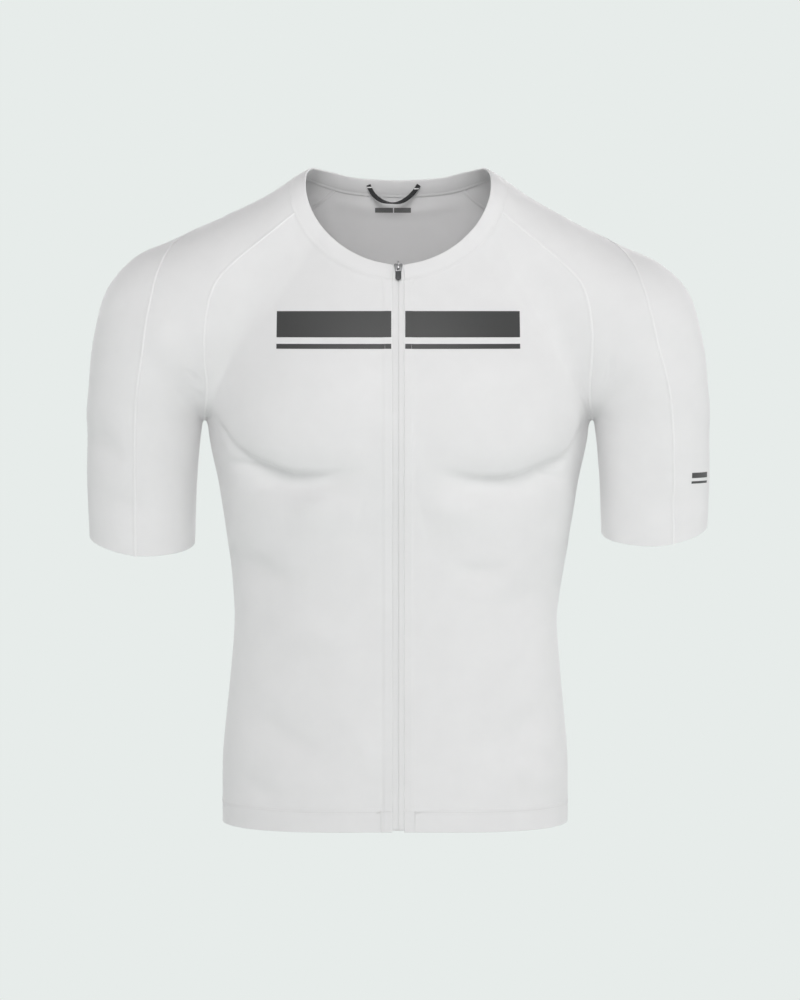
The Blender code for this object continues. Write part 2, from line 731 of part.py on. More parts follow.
def zip_tape(name, grids, side, material):
    """A tape behind the edge of collar, front and hem, which follows the same rows."""
    outer = zip_edges(grids)
    normals = world_normals(outer, side)
    edge, beyond = outer[:, 0], outer[:, 1]
    flow = beyond - edge
    flow /= np.linalg.norm(flow, axis=1, keepdims=True)
    hidden = edge + flow * (ZIP_TAPE_REACH - ZIP_OPENING / 2)
    shown = edge - flow * (ZIP_OPENING / 2 - ZIP_TAPE_EDGE)
    top = np.stack([shown, hidden], axis=1) - normals[:, :1] * (CLOTH + SEAM_GAP)
    under = top - normals[:, :1] * ZIP_TAPE_THICK
    return add_object(name, wall_mesh(name, to_world(top, side), to_world(under, side)), material)


def zip_rows(grids):
    """The zip's middle line, from the neck edge to the hem, and its outward direction."""
    line = zip_edges(grids)[:, 0] * np.array([0.0, 1.0, 1.0])
    normal, _ = outward(line)
    normal[:, 0] = 0
    return line, normal / np.linalg.norm(normal, axis=1, keepdims=True)


def sample_rows(values, fractions, at):
    return np.stack([np.interp(at, fractions, values[:, k]) for k in range(3)], axis=-1)


def zip_coil(line, normal, top, material):
    """The closed coil, from just under the slider down to the hem, with a row at each row of the front."""
    fractions, _ = arc_fractions(line)
    start = np.interp(-top, -line[:, 2], fractions)
    keep = np.concatenate([[start], fractions[fractions > start + COIL_SHORTEST]])
    middle, out = sample(line, keep), sample_rows(normal, fractions, keep)
    half = np.array([ZIP_COIL_WIDTH / 2, 0.0, 0.0])
    outer = np.stack([middle - half, middle + half], axis=1) - out[:, None] * ZIP_COIL_SUNK
    inner = outer - out[:, None] * ZIP_COIL_THICK
    return add_object("zip_coil", wall_mesh("zip_coil", outer, inner), material)


def box_mesh(name, low, high, bevel=0.0):
    model = bmesh.new()
    low, high = Vector(low), Vector(high)
    for vert in bmesh.ops.create_cube(model, size=1.0)["verts"]:
        vert.co = Vector(low[k] + (vert.co[k] + 0.5) * (high[k] - low[k]) for k in range(3))
    if bevel:
        bmesh.ops.bevel(model, geom=model.edges[:], offset=bevel, segments=2, profile=0.5, affect="EDGES")
    return finished(name, model)


def plate_mesh(name, outline, thick):
    """A flat plate from an outline in x and z, with its thickness along y."""
    model = bmesh.new()
    face = model.faces.new([model.verts.new((x, -thick / 2, z)) for x, z in outline])
    made = bmesh.ops.extrude_face_region(model, geom=[face])["geom"]
    verts = [part for part in made if isinstance(part, bmesh.types.BMVert)]
    bmesh.ops.translate(model, verts=verts, vec=(0, thick, 0))
    return finished(name, model)


def rod_mesh(name, radius, length, sides=16):
    model = bmesh.new()
    bmesh.ops.create_cone(model, cap_ends=True, segments=sides, radius1=radius, radius2=radius,
                          depth=length, matrix=Matrix.Rotation(math.pi / 2, 4, "Y"))
    return finished(name, model)


def finished(name, model):
    bmesh.ops.recalc_face_normals(model, faces=model.faces)
    mesh = bpy.data.meshes.new(name)
    model.to_mesh(mesh)
    model.free()
    mesh.shade_smooth()
    mesh.set_sharp_from_angle(angle=math.radians(40))
    return mesh


def join_by_boolean(thing, tool, operation):
    tool.hide_render = True
    tool.display_type = "WIRE"
    change = thing.modifiers.new(tool.name, "BOOLEAN")
    change.operation = operation
    change.object = tool


def slider_frame(line, normal, top):
    """Where the slider sits: x across, y into the cloth, z up along the zip."""
    fractions, _ = arc_fractions(line)
    at = np.array([np.interp(SLIDER_DROP - top, -line[:, 2], fractions)])
    out = Vector(sample_rows(normal, fractions, at)[0]).normalized()
    across = Vector((1, 0, 0))
    turn = Matrix((across, -out, across.cross(-out))).transposed().to_4x4()
    return Matrix.Translation(Vector(sample(line, at)[0])) @ turn


def zip_slider(frame, material, guide):
    plate = add_object("zip_slider", box_mesh(
        "zip_slider", (-SLIDER_WIDTH / 2, -SLIDER_PROUD, -SLIDER_LENGTH / 2),
        (SLIDER_WIDTH / 2, SLIDER_SUNK, SLIDER_LENGTH / 2), SLIDER_EDGE), material)
    plate.matrix_world = frame
    room = PIN_RADIUS + PIN_CLEAR
    pin_out = -SLIDER_PROUD - room
    arch = add_object("slider_arch", box_mesh(
        "slider_arch", (-ARCH_WIDTH / 2, pin_out - room - ARCH_LEG, PIN_UP - room - ARCH_LEG),
        (ARCH_WIDTH / 2, 0.0, PIN_UP + room + ARCH_LEG), ARCH_LEG / 3), guide)
    window = add_object("slider_window", box_mesh(
        "slider_window", (-ARCH_WIDTH, pin_out - room, PIN_UP - room),
        (ARCH_WIDTH, pin_out + room - PIN_CLEAR / 5, PIN_UP + room)), guide)
    arch.matrix_world = window.matrix_world = frame
    join_by_boolean(plate, arch, "UNION")
    join_by_boolean(plate, window, "DIFFERENCE")
    return frame @ Vector((0, pin_out, PIN_UP))


def zip_pull(frame, pivot, material, guide):
    half = PULL_WIDTH / 2
    turns = [math.radians(turn) for turn in range(0, 181, 20)]
    outline = [(half, 0.0), (-half, 0.0)]
    outline += [(-half * math.cos(t), -PULL_LENGTH + half - half * math.sin(t)) for t in turns]
    pull = add_object("zip_pull", plate_mesh("zip_pull", outline, PULL_THICK), material)
    window = add_object("pull_window", box_mesh(
        "pull_window", (PULL_ARM - half, -PULL_THICK, -PULL_WINDOW),
        (half - PULL_ARM, PULL_THICK, PULL_THICK)), guide)
    pin = add_object("pull_pin", rod_mesh("pull_pin", PIN_RADIUS, PULL_WIDTH), guide)
    place = Matrix.Translation(pivot) @ frame.to_3x3().to_4x4()
    pull.matrix_world = window.matrix_world = pin.matrix_world = place
    join_by_boolean(pull, window, "DIFFERENCE")
    join_by_boolean(pull, pin, "UNION")


# Hanger loop

def hanger_loop(behind, material):
    """A flat tape in a V that hangs on the inside of the back of the neck."""
    tree = BVHTree.FromPolygons(
        [tuple(v.co) for thing in behind for v in thing.data.vertices],
        shifted_faces([thing.data for thing in behind]))
    way = np.linspace(0, 1, len(LOOP_LINE))
    dense = np.linspace(0, 1, 2 * len(LOOP_LINE) + 1)
    line = np.stack([smooth_curve(way, [p[k] for p in LOOP_LINE])(dense) for k in range(2)], axis=-1)
    flow = tangents(line)
    across = np.stack([flow[:, 1], -flow[:, 0]], axis=-1) * LOOP_WIDTH / 2
    edges = np.stack([line - across, line, line + across], axis=1)
    wall = min(tree.ray_cast(Vector((x, 0, z)), Vector((0, 1, 0)))[0].y for x, z in edges.reshape(-1, 2))
    y = wall - SEAM_GAP
    outer = np.stack([edges[..., 0], np.full(edges.shape[:2], y - LOOP_THICK), edges[..., 1]], axis=-1)
    inner = outer + np.array([0.0, LOOP_THICK, 0.0])
    return add_object("hanger_loop", wall_mesh("hanger_loop", outer[:, ::2], inner[:, ::2]), material)


def shifted_faces(meshes):
    faces, base = [], 0
    for mesh in meshes:
        faces += [tuple(base + i for i in polygon.vertices) for polygon in mesh.polygons]
        base += len(mesh.vertices)
    return faces


# Materials

def make_material(name, colour, roughness, metallic=0.0):
    material = bpy.data.materials.new(name)
    material.use_nodes = True
    shader = next(node for node in material.node_tree.nodes if node.type == "BSDF_PRINCIPLED")
    shader.inputs["Base Color"].default_value = (*colour, 1.0)
    shader.inputs["Roughness"].default_value = roughness
    shader.inputs["Metallic"].default_value = metallic
    return material


def main():
    for thing in list(bpy.data.objects):
        bpy.data.objects.remove(thing)

    knit = make_material("white_knit", (0.80, 0.81, 0.82), 0.75)
    binding = make_material("white_binding", (0.82, 0.83, 0.84), 0.70)
    tape = make_material("white_tape", (0.80, 0.80, 0.81), 0.80)
    nylon = make_material("white_nylon", (0.78, 0.78, 0.79), 0.45)
    enamel = make_material("grey_enamel", (0.30, 0.30, 0.31), 0.40, 0.6)
    rubber = make_material("dark_pull", (0.05, 0.05, 0.055), 0.50)
    black = make_material("black_tape", (0.02, 0.02, 0.022), 0.80)

    grids = {side: panel_grids(side) for _, side in SIDES}
    for label, side in SIDES:
        for part in ("front", "sleeve_front", "sleeve_back"):
            free = ("start",) if part == "front" else ("bottom",)
            name = part + "_" + label
            cloth_panel(name, [(side, grids[side][part])], knit, free)
        zip_tape("zip_tape_" + label, grids[side], side, tape)
    panels = {}
    for name, part, material, free in (
        ("back", "back", knit, ("end",)),
        ("collar", "collar", binding, ("top", "start", "end")),
        ("hem_band", "hem", knit, ("bottom", "start", "end")),
    ):
        halves = [(side, grids[side][part]) for _, side in SIDES]
        panels[name] = cloth_panel(name, halves, material, free)

    line, normal = zip_rows(grids[1])
    neck_top = grids[1]["collar"][0, 0, 2]
    frame = slider_frame(line, normal, neck_top)
    zip_coil(line, normal, neck_top - SLIDER_DROP - SLIDER_LENGTH / 2 - SEAM_GAP, nylon)
    pivot = zip_slider(frame, enamel, enamel)
    zip_pull(frame, pivot, rubber, rubber)
    hanger_loop([panels["collar"], panels["back"]], black)


main()
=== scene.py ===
import json
import math

import bmesh
import bpy
import numpy as np
from mathutils import Matrix, Vector

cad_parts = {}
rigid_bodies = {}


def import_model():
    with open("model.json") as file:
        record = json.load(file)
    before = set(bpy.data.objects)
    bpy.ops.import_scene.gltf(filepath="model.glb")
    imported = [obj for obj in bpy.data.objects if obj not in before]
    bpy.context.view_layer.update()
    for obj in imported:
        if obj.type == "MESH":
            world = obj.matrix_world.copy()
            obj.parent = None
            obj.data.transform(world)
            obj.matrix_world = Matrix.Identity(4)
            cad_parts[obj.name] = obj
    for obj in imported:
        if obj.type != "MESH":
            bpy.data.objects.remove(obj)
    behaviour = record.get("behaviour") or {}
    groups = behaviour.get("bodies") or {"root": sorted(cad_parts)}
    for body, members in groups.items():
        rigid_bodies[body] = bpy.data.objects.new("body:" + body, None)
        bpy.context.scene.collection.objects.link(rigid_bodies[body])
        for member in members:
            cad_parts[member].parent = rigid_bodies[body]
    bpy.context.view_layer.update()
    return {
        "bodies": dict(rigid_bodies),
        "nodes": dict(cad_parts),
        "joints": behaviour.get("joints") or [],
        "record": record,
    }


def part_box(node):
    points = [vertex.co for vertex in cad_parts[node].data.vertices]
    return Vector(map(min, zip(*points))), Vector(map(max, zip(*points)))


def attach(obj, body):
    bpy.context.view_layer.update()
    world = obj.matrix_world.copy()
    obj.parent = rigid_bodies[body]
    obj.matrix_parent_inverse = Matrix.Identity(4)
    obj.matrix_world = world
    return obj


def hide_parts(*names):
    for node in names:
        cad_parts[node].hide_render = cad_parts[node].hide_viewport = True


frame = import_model()

# Driving dimensions

SEAM_GAP = 0.0003
COLLAR_WIDTH = 0.0155
HEM_HEIGHT = -0.6165
HEM_BAND = 0.020
HEM_DIP = 0.0035
ZIP_OPENING = 0.0110

# The armpit's lowest line runs along Y through this point, on both sides.
ARMPIT_X = 0.1840
ARMPIT_Z = -0.2390
# Sections over the shoulder stand in planes that fan out from the armpit's line. "way" is the length
# along the fan at this radius, and below the armpit it is the drop, as a negative number.
FAN_RADIUS = 0.110
SECTION_POWER = 2.3
LIMB_POWER = 2.15

# Level sections of the body: half width, what the right side has more of it and the left side less, and
# depth from the middle to the front and to the back.
TORSO_COLUMNS = ("height", "half_width", "right_more", "front", "back")
TORSO = (
    (-0.640, 0.1645, 0.0030, 0.1060, 0.1170),
    (-0.600, 0.1645, 0.0030, 0.1060, 0.1170),
    (-0.556, 0.1640, 0.0030, 0.1050, 0.1120),
    (-0.510, 0.1599, 0.0028, 0.1040, 0.1000),
    (-0.465, 0.1556, 0.0026, 0.1035, 0.0890),
    (-0.425, 0.1532, 0.0024, 0.1040, 0.0860),
    (-0.385, 0.1570, 0.0010, 0.1060, 0.0910),
    (-0.345, 0.1630, 0.0000, 0.1100, 0.1010),
    (-0.300, 0.1700, 0.0000, 0.1185, 0.1120),
    (-0.250, 0.1795, 0.0000, 0.1250, 0.1220),
    (-0.200, 0.1780, 0.0000, 0.1185, 0.1265),
    (-0.150, 0.1700, 0.0000, 0.1030, 0.1220),
    (-0.110, 0.1560, 0.0000, 0.0860, 0.1090),
    (-0.070, 0.1330, 0.0000, 0.0705, 0.0905),
    (-0.038, 0.1100, 0.0000, 0.0630, 0.0765),
    (-0.012, 0.0850, 0.0000, 0.0590, 0.0650),
    (0.008, 0.0690, 0.0000, 0.0550, 0.0590),
    (0.044, 0.0500, 0.0000, 0.0500, 0.0530),
)

# Sections of sleeve and shoulder, from the cuff up to the neck: reach is from the armpit's line to the
# outer side, lower is what the right shoulder, which hangs a little lower, has more of it and the left
# less, and front and back are the depths of the section.
LIMB_COLUMNS = ("way", "reach", "lower", "root", "front", "back")
LIMB = (
    (-0.150, 0.1080, 0.0000, 0.0110, 0.0515, 0.0525),
    (-0.110, 0.1092, 0.0000, 0.0096, 0.0525, 0.0540),
    (-0.055, 0.1112, 0.0000, 0.0075, 0.0555, 0.0575),
    (0.000, 0.1112, 0.0000, 0.0035, 0.0590, 0.0620),
    (0.036, 0.1150, 0.0000, 0.0035, 0.0615, 0.0665),
    (0.074, 0.1318, 0.0005, 0.0035, 0.0640, 0.0710),
    (0.108, 0.1556, 0.0015, 0.0035, 0.0660, 0.0750),
    (0.129, 0.1642, 0.0030, 0.0035, 0.0670, 0.0775),
    (0.155, 0.1702, 0.0030, 0.0035, 0.0680, 0.0800),
    (0.184, 0.1912, 0.0025, 0.0035, 0.0680, 0.0830),
    (0.204, 0.2215, 0.0010, 0.0035, 0.0660, 0.0820),
    (0.217, 0.2545, 0.0000, 0.0035, 0.0620, 0.0780),
    (0.227, 0.2625, 0.0000, 0.0035, 0.0580, 0.0740),
)
LIMB_END_START = 0.227
LIMB_END_FINISH = 0.288

# How softly the sleeve runs into the body: sharp in the armpit, soft over the shoulder.
BLEND_COLUMNS = ("height", "width")
BLEND = (
    (-0.400, 0.014),
    (-0.235, 0.014),
    (-0.190, 0.020),
    (-0.120, 0.026),
    (0.040, 0.018),
)

# The largest soft folds and swells: a trough or, with a negative depth, a ridge along a bowed line on the
# front (face -1) or the back (face +1). The columns are face, x and z where the line starts and ends, the
# lift of its middle, depth and width.
FOLDS = (
    (-1, -0.172, -0.196, -0.008, -0.214, 0.010, -0.0052, 0.0420),
    (-1, 0.008, -0.214, 0.172, -0.196, 0.010, -0.0052, 0.0420),
    (1, -0.170, -0.168, -0.006, -0.150, 0.006, -0.0056, 0.0520),
    (1, 0.006, -0.150, 0.170, -0.168, 0.006, -0.0056, 0.0520),
    (-1, -0.166, -0.262, -0.050, -0.296, -0.016, 0.0034, 0.0120),
    (-1, 0.166, -0.266, 0.044, -0.300, -0.018, 0.0034, 0.0120),
    (-1, -0.150, -0.300, -0.098, -0.286, -0.004, 0.0016, 0.0080),
    (-1, 0.140, -0.292, 0.160, -0.360, 0.000, 0.0016, 0.0100),
    (1, -0.118, -0.420, 0.096, -0.404, -0.012, 0.0034, 0.0130),
    (1, -0.072, -0.462, 0.128, -0.450, -0.010, 0.0026, 0.0120),
    (1, 0.168, -0.262, 0.096, -0.322, -0.006, 0.0028, 0.0120),
    (1, -0.168, -0.258, -0.090, -0.330, -0.006, 0.0028, 0.0120),
)

# Seams and edges on the wearer's left, as points near the cloth's outer face.
NECK_EDGE = (
    (0.0052, -0.078, -0.0935), (0.027, -0.075, -0.0885), (0.055, -0.067, -0.073), (0.0745, -0.056, -0.0525),
    (0.0842, -0.041, -0.031), (0.085, -0.022, -0.0125), (0.0825, 0.0, 0.001), (0.079, 0.02, 0.003),
    (0.067, 0.04, -0.0005), (0.045, 0.055, -0.007), (0.02, 0.062, -0.0092), (0.0, 0.064, -0.0097),
)
RAGLAN_FRONT = (
    (0.0987, -0.045, -0.0486), (0.1228, -0.056, -0.066), (0.156, -0.064, -0.093), (0.17, -0.067, -0.11),
    (0.178, -0.068, -0.14), (0.1802, -0.062, -0.179), (0.179, -0.048, -0.206), (0.1815, -0.026, -0.23),
    (0.184, 0.0, -0.239),
)
RAGLAN_BACK = (
    (0.064, 0.058, -0.018), (0.1, 0.076, -0.042), (0.14, 0.086, -0.085), (0.168, 0.086, -0.13),
    (0.18, 0.074, -0.175), (0.1815, 0.045, -0.218), (0.184, 0.0, -0.239),
)
OVERARM = (
    (0.094, 0.012, -0.011), (0.14, 0.014, -0.0375), (0.173, 0.005, -0.054), (0.2, -0.013, -0.07),
    (0.2165, -0.034, -0.093), (0.2275, -0.049, -0.125), (0.2385, -0.057, -0.17), (0.249, -0.06, -0.22),
    (0.252, -0.058, -0.28), (0.252, -0.054, -0.362),
)
# The overarm seams of the two sleeves lie a little to the wearer's left of where they would match.
OVERARM_SHIFT = 0.006
OVERARM_SHIFT_START = -0.120
OVERARM_SHIFT_END = -0.240
UNDERARM = (
    (0.184, 0.0, -0.239), (0.1888, 0.0, -0.25), (0.1908, 0.0, -0.275), (0.1925, 0.0, -0.315),
    (0.1945, 0.0, -0.3525),
)
SIDE_SEAM = (
    (0.184, 0.0, -0.239), (0.179, 0.003, -0.25), (0.1715, 0.008, -0.295), (0.159, 0.012, -0.37),
    (0.153, 0.013, -0.43), (0.159, 0.014, -0.5), (0.1645, 0.015, -0.5965),
)
CUFF_MIDDLE_X = 0.2440
CUFF_HEIGHT = {-1: -0.3565, 1: -0.3470}
CUFF_TILT = 0.165
CUFF_RISE = 0.009
CUFF_RISE_WIDTH = 0.050
# The middle line of sleeve and shoulder, x and z, from the neck to the cuff.
LIMB_MIDDLE = (
    (0.07, -0.056), (0.115, -0.076), (0.16, -0.103), (0.2, -0.134), (0.226, -0.175), (0.238, -0.225),
    (0.242, -0.29), (0.244, -0.36),
)

# Height on the middle of front and back where the rows beside the armholes end and those of the sides start
ARMPIT_LEVEL = -0.2510

# Rows and columns of the panels
RAGLAN_ROWS = 16
SIDE_ROWS = 24
SLEEVE_ROWS = 10
FRONT_COLUMNS = 13
BACK_COLUMNS = 11
SLEEVE_FRONT_COLUMNS = 7
SLEEVE_BACK_COLUMNS = 13
COLLAR_ROWS = 3
HEM_ROWS = 3
ZIP_STRIP = 0.070
SIDE_CROWDING = 1.25

# Where columns and rows lie, as shares of a panel's width and length. The rows of the sides are closer
# together under the chest and the arms, where the form changes most.
COLUMNS = {
    "front": np.concatenate([[0], np.linspace(ZIP_STRIP, 1, FRONT_COLUMNS - 1)]),
    "sleeve_front": np.linspace(0, 1, SLEEVE_FRONT_COLUMNS),
    "sleeve_back": np.linspace(0, 1, SLEEVE_BACK_COLUMNS),
    "back": np.linspace(0, 1, BACK_COLUMNS),
}
RAGLAN_STEPS = np.linspace(0, 1, RAGLAN_ROWS + 1)
SIDE_STEPS = np.linspace(0, 1, SIDE_ROWS + 1) ** SIDE_CROWDING
UNDER_STEPS = np.linspace(0, 1, SLEEVE_ROWS + 1)

# Zip slider and pull
SLIDER_LENGTH = 0.0088
SLIDER_DROP = 0.0040
SLIDER_PROUD = 0.0018
PIN_RADIUS = 0.0007
PIN_CLEAR = 0.0003
PIN_UP = 0.0005
PULL_WIDTH = 0.0054
PULL_LENGTH = 0.0130
PULL_THICK = 0.0012

# Hanger loop: a flat tape
LOOP_WIDTH = 0.0045
LOOP_THICK = 0.0009

SIDES = (("right", -1), ("left", 1))


# Smooth curves through a table's rows

def smooth_curve(xs, ys, edge_order=1):
    xs, ys = np.array(xs, float), np.array(ys, float)
    slopes = np.gradient(ys, xs, edge_order=edge_order)

    def at(x):
        x = np.clip(x, xs[0], xs[-1])
        i = np.clip(np.searchsorted(xs, x, side="right") - 1, 0, len(xs) - 2)
        step = xs[i + 1] - xs[i]
        t = (x - xs[i]) / step
        ends = (1 + 2 * t) * (1 - t) ** 2 * ys[i] + t * t * (3 - 2 * t) * ys[i + 1]
        return ends + step * t * (1 - t) * ((1 - t) * slopes[i] - t * slopes[i + 1])

    return at


def table_curves(columns, rows):
    by_name = dict(zip(columns, zip(*rows)))
    return {name: smooth_curve(by_name[columns[0]], by_name[name]) for name in columns[1:]}


def curve_points(points, count, places=None):
    """Points at even steps on a smooth curve through points, which lie at places from 0 to 1 on it."""
    points = np.array(points, float)
    places = np.linspace(0, 1, len(points)) if places is None else places
    dense = np.linspace(0, 1, count)
    return np.stack([smooth_curve(places, column)(dense) for column in points.T], axis=-1)


def unit(vectors):
    return vectors / np.linalg.norm(vectors, axis=-1, keepdims=True)


TORSO_AT = table_curves(TORSO_COLUMNS, TORSO)
LIMB_AT = table_curves(LIMB_COLUMNS, LIMB)
BLEND_AT = table_curves(BLEND_COLUMNS, BLEND)


# The garment's outer face, as the zero of a size in metres that is negative inside it. Points are in
# a half frame where x runs outward on one side; world x is side * x.

def oval_gap(u, v, half_u, half_v, power):
    u, v = np.abs(u) + 1e-9, np.abs(v)
    reach = ((u / half_u) ** power + (v / half_v) ** power) ** (1 / power)
    return np.hypot(u, v) * (1 - 1 / reach)


def torso_gap(x, y, z, side):
    half_width = TORSO_AT["half_width"](z) - side * TORSO_AT["right_more"](z)
    depth = np.where(y < 0, TORSO_AT["front"](z), TORSO_AT["back"](z))
    return oval_gap(x, y, half_width, depth, SECTION_POWER)


def limb_gap(x, y, z, side):
    out, up = x - ARMPIT_X, z - ARMPIT_Z
    hanging = (up < 0) & (out >= 0)
    turn = np.arctan2(up, out) % (2 * math.pi)
    far = np.where(hanging, out, np.hypot(out, up))
    way = np.where(hanging, up, turn * FAN_RADIUS)
    reach, root = LIMB_AT["reach"](way) - side * LIMB_AT["lower"](way), LIMB_AT["root"](way)
    depth = np.where(y < 0, LIMB_AT["front"](way), LIMB_AT["back"](way))
    gap = oval_gap(far - (reach + root) / 2, y, (reach - root) / 2, depth, LIMB_POWER)
    t = np.clip((way - LIMB_END_START) / (LIMB_END_FINISH - LIMB_END_START), 0, 1)
    fade = t * t * (3 - 2 * t)
    return gap * (1 - fade) + (np.hypot(out, up) + root) * fade


def fold_gap(x, y, z):
    total = np.zeros_like(x)
    for face, x0, z0, x1, z1, bow, depth, width in FOLDS:
        length2 = (x1 - x0) ** 2 + (z1 - z0) ** 2
        t = np.clip(((x - x0) * (x1 - x0) + (z - z0) * (z1 - z0)) / length2, 0, 1)
        swell = np.sin(math.pi * t)
        off = np.hypot(x - x0 - t * (x1 - x0), z - z0 - t * (z1 - z0) - bow * swell)
        on_face = np.where(face * y > 0, 1.0, 0.0)
        total += on_face * depth * swell ** 1.4 * np.exp(-(off / width) ** 2)
    return total


def garment_gap(points, side=1):
    shape = points.shape[:-1]
    flat = points.reshape(-1, 3)
    x, y, z = np.abs(flat[:, 0]), flat[:, 1], flat[:, 2]
    body, arm = torso_gap(x, y, z, side), limb_gap(x, y, z, side)
    soft = BLEND_AT["width"](z)
    near = np.clip(soft - np.abs(body - arm), 0, None) / soft
    gap = np.minimum(body, arm) - near * near * soft / 4
    return (gap + fold_gap(side * flat[:, 0], y, z)).reshape(shape)


def outward(points, side=1):
    """Outward directions at points, and how steeply the gap rises there."""
    step = 0.0004
    parts = []
    for axis in np.eye(3):
        parts.append(garment_gap(points + step * axis, side) - garment_gap(points - step * axis, side))
    slope = np.stack(parts, axis=-1) / (2 * step)
    return unit(slope), np.linalg.norm(slope, axis=-1)


def onto_garment(points, side=1, rounds=14):
    most = 0.003
    for _ in range(rounds):
        normal, steep = outward(points, side)
        move = np.clip(garment_gap(points, side) / np.maximum(steep, 0.2), -most, most)
        points = points - normal * move[..., None]
    return points


def limb_alone(points, side):
    return limb_gap(np.abs(points[..., 0]), points[..., 1], points[..., 2], side)


def cast(start, direction, side=1, gap=garment_gap, near=0.006, far=0.300, steps=72, rounds=18):
    """First place where each ray leaves the garment, or the form that gap describes."""
    reach = np.linspace(near, far, steps)
    along = start[..., None, :] + direction[..., None, :] * reach[:, None]
    outside = gap(along, side) > 0
    first = np.maximum(np.argmax(outside, axis=-1), 1)
    low, high = reach[first - 1], reach[first]
    for _ in range(rounds):
        middle = (low + high) / 2
        out = gap(start + direction * middle[..., None], side) > 0
        low, high = np.where(out, low, middle), np.where(out, middle, high)
    return start + direction * ((low + high) / 2)[..., None]


# Lines on the garment

def arc_fractions(line):
    steps = np.linalg.norm(np.diff(line, axis=0), axis=1)
    way = np.concatenate([[0], np.cumsum(steps)])
    return way / way[-1], way[-1]


def sample_rows(values, fractions, at):
    return np.stack([np.interp(at, fractions, column) for column in values.T], axis=-1)


def sample(line, at):
    return sample_rows(line, arc_fractions(line)[0], at)


def surface_line(points, side, count=240, first=None):
    points = np.array(points, float)
    if first is not None:
        points[0] = first
    line = curve_points(points, count, arc_fractions(points)[0])
    return sample(onto_garment(line, side), np.linspace(0, 1, count))


def tangents(line):
    return unit(np.gradient(line, axis=0))


def beside(line, side, distance, steps=10):
    """The line moved along the cloth by a distance, away from the opening that it goes round."""
    for _ in range(steps):
        across = unit(np.cross(tangents(line), outward(line, side)[0]))
        line = onto_garment(line + across * distance / steps, side, rounds=3)
    return line


def from_zip(line, x):
    """The line from the place where it is x away from the middle of the front."""
    first = np.argmax(line[:, 0] > x)
    before, after = line[max(first - 1, 0)], line[first]
    if after[0] == before[0]:
        before = line[0] + (line[0] - line[1]) * 8
        after = line[0]
    share = (x - before[0]) / (after[0] - before[0])
    return np.concatenate([[before + (after - before) * share], line[first:]])


def nearest_fraction(line, point):
    way, _ = arc_fractions(line)
    return way[np.argmin(np.linalg.norm(line - np.array(point), axis=1))]


# Grids of outer points, for one side in its half frame

def fill(top, bottom, start, end, columns, rows):
    """Interior of a patch from its four edges, in any coordinates: rows x columns x values."""
    u, v = columns[None, :, None], rows[:, None, None]
    across = (1 - u) * start[:, None, :] + u * end[:, None, :]
    above = top[None] - ((1 - u) * start[0] + u * end[0])
    below = bottom[None] - ((1 - u) * start[-1] + u * end[-1])
    return across + (1 - v) * above + v * below


def turn_and_height(points):
    return np.stack([np.arctan2(points[..., 0], -points[..., 1]), points[..., 2]], axis=-1)


def from_turn_and_height(places, side):
    turn, height = places[..., 0], places[..., 1]
    zero = np.zeros_like(turn)
    start = np.stack([zero, zero, height], axis=-1)
    return cast(start, np.stack([np.sin(turn), -np.cos(turn), zero], axis=-1), side)


def body_grid(top, bottom, start, end, columns, side):
    rows = np.linspace(0, 1, len(start))
    edges = [turn_and_height(edge) for edge in (top, bottom, start, end)]
    grid = from_turn_and_height(fill(*edges, columns, rows), side)
    grid[0], grid[-1], grid[:, 0], grid[:, -1] = top, bottom, start, end
    return grid


LIMB_STEPS = 200
# How many of a row's neighbours its frame is evened out over
LIMB_EVEN = 5
# Turns past which the angles of the sleeve's front and back pieces are counted
SLEEVE_FRONT_PAST = -math.pi * 0.6
SLEEVE_BACK_PAST = -math.pi * 1.35


def limb_frames(start, end):
    """For each row, a middle point inside the limb and the outward and lengthwise directions there."""
    line = curve_points(LIMB_MIDDLE, LIMB_STEPS)
    flow = tangents(line)
    between = (start + end)[:, [0, 2]] / 2
    nearest = np.argmin(np.linalg.norm(line[None] - between[:, None], axis=2), axis=1)
    nearest = np.pad(np.maximum.accumulate(nearest), LIMB_EVEN // 2, mode="edge")
    soft = np.convolve(nearest, np.ones(LIMB_EVEN) / LIMB_EVEN, mode="valid").round().astype(int)
    zero = np.zeros(len(soft))
    centre = np.stack([line[soft, 0], zero, line[soft, 1]], axis=-1)
    length = np.stack([flow[soft, 0], zero, flow[soft, 1]], axis=-1)
    out = np.stack([-length[:, 2], zero, length[:, 0]], axis=-1)
    return centre, out, length


def limb_angles(points, frames, past):
    """Turn round the limb from its outer side over the front, and tilt along it."""
    centre, out, length = frames
    way = unit(points - centre)
    a, b = (way * out).sum(-1), -way[..., 1]
    c = (way * length).sum(-1)
    turn = past + (np.arctan2(b, a) - past) % (2 * math.pi)
    return np.stack([turn, np.arcsin(np.clip(c, -1, 1))], axis=-1)


def limb_grid(top, bottom, start, end, columns, side, past):
    rows = np.linspace(0, 1, len(start))
    frames = limb_frames(start, end)
    first = tuple(part[0] for part in frames)
    last = tuple(part[-1] for part in frames)
    edges = [limb_angles(top, first, past), limb_angles(bottom, last, past)]
    edges += [limb_angles(start, frames, past), limb_angles(end, frames, past)]
    angles = fill(*edges, columns, rows)
    turn, tilt = angles[..., 0:1], angles[..., 1:2]
    centre, out, length = (part[:, None, :] for part in frames)
    front = np.array([0.0, -1.0, 0.0])
    ray = np.cos(tilt) * (np.cos(turn) * out + np.sin(turn) * front) + np.sin(tilt) * length
    grid = onto_garment(cast(np.broadcast_to(centre, ray.shape), ray, side, gap=limb_alone), side)
    grid[0], grid[-1], grid[:, 0], grid[:, -1] = top, bottom, start, end
    return grid


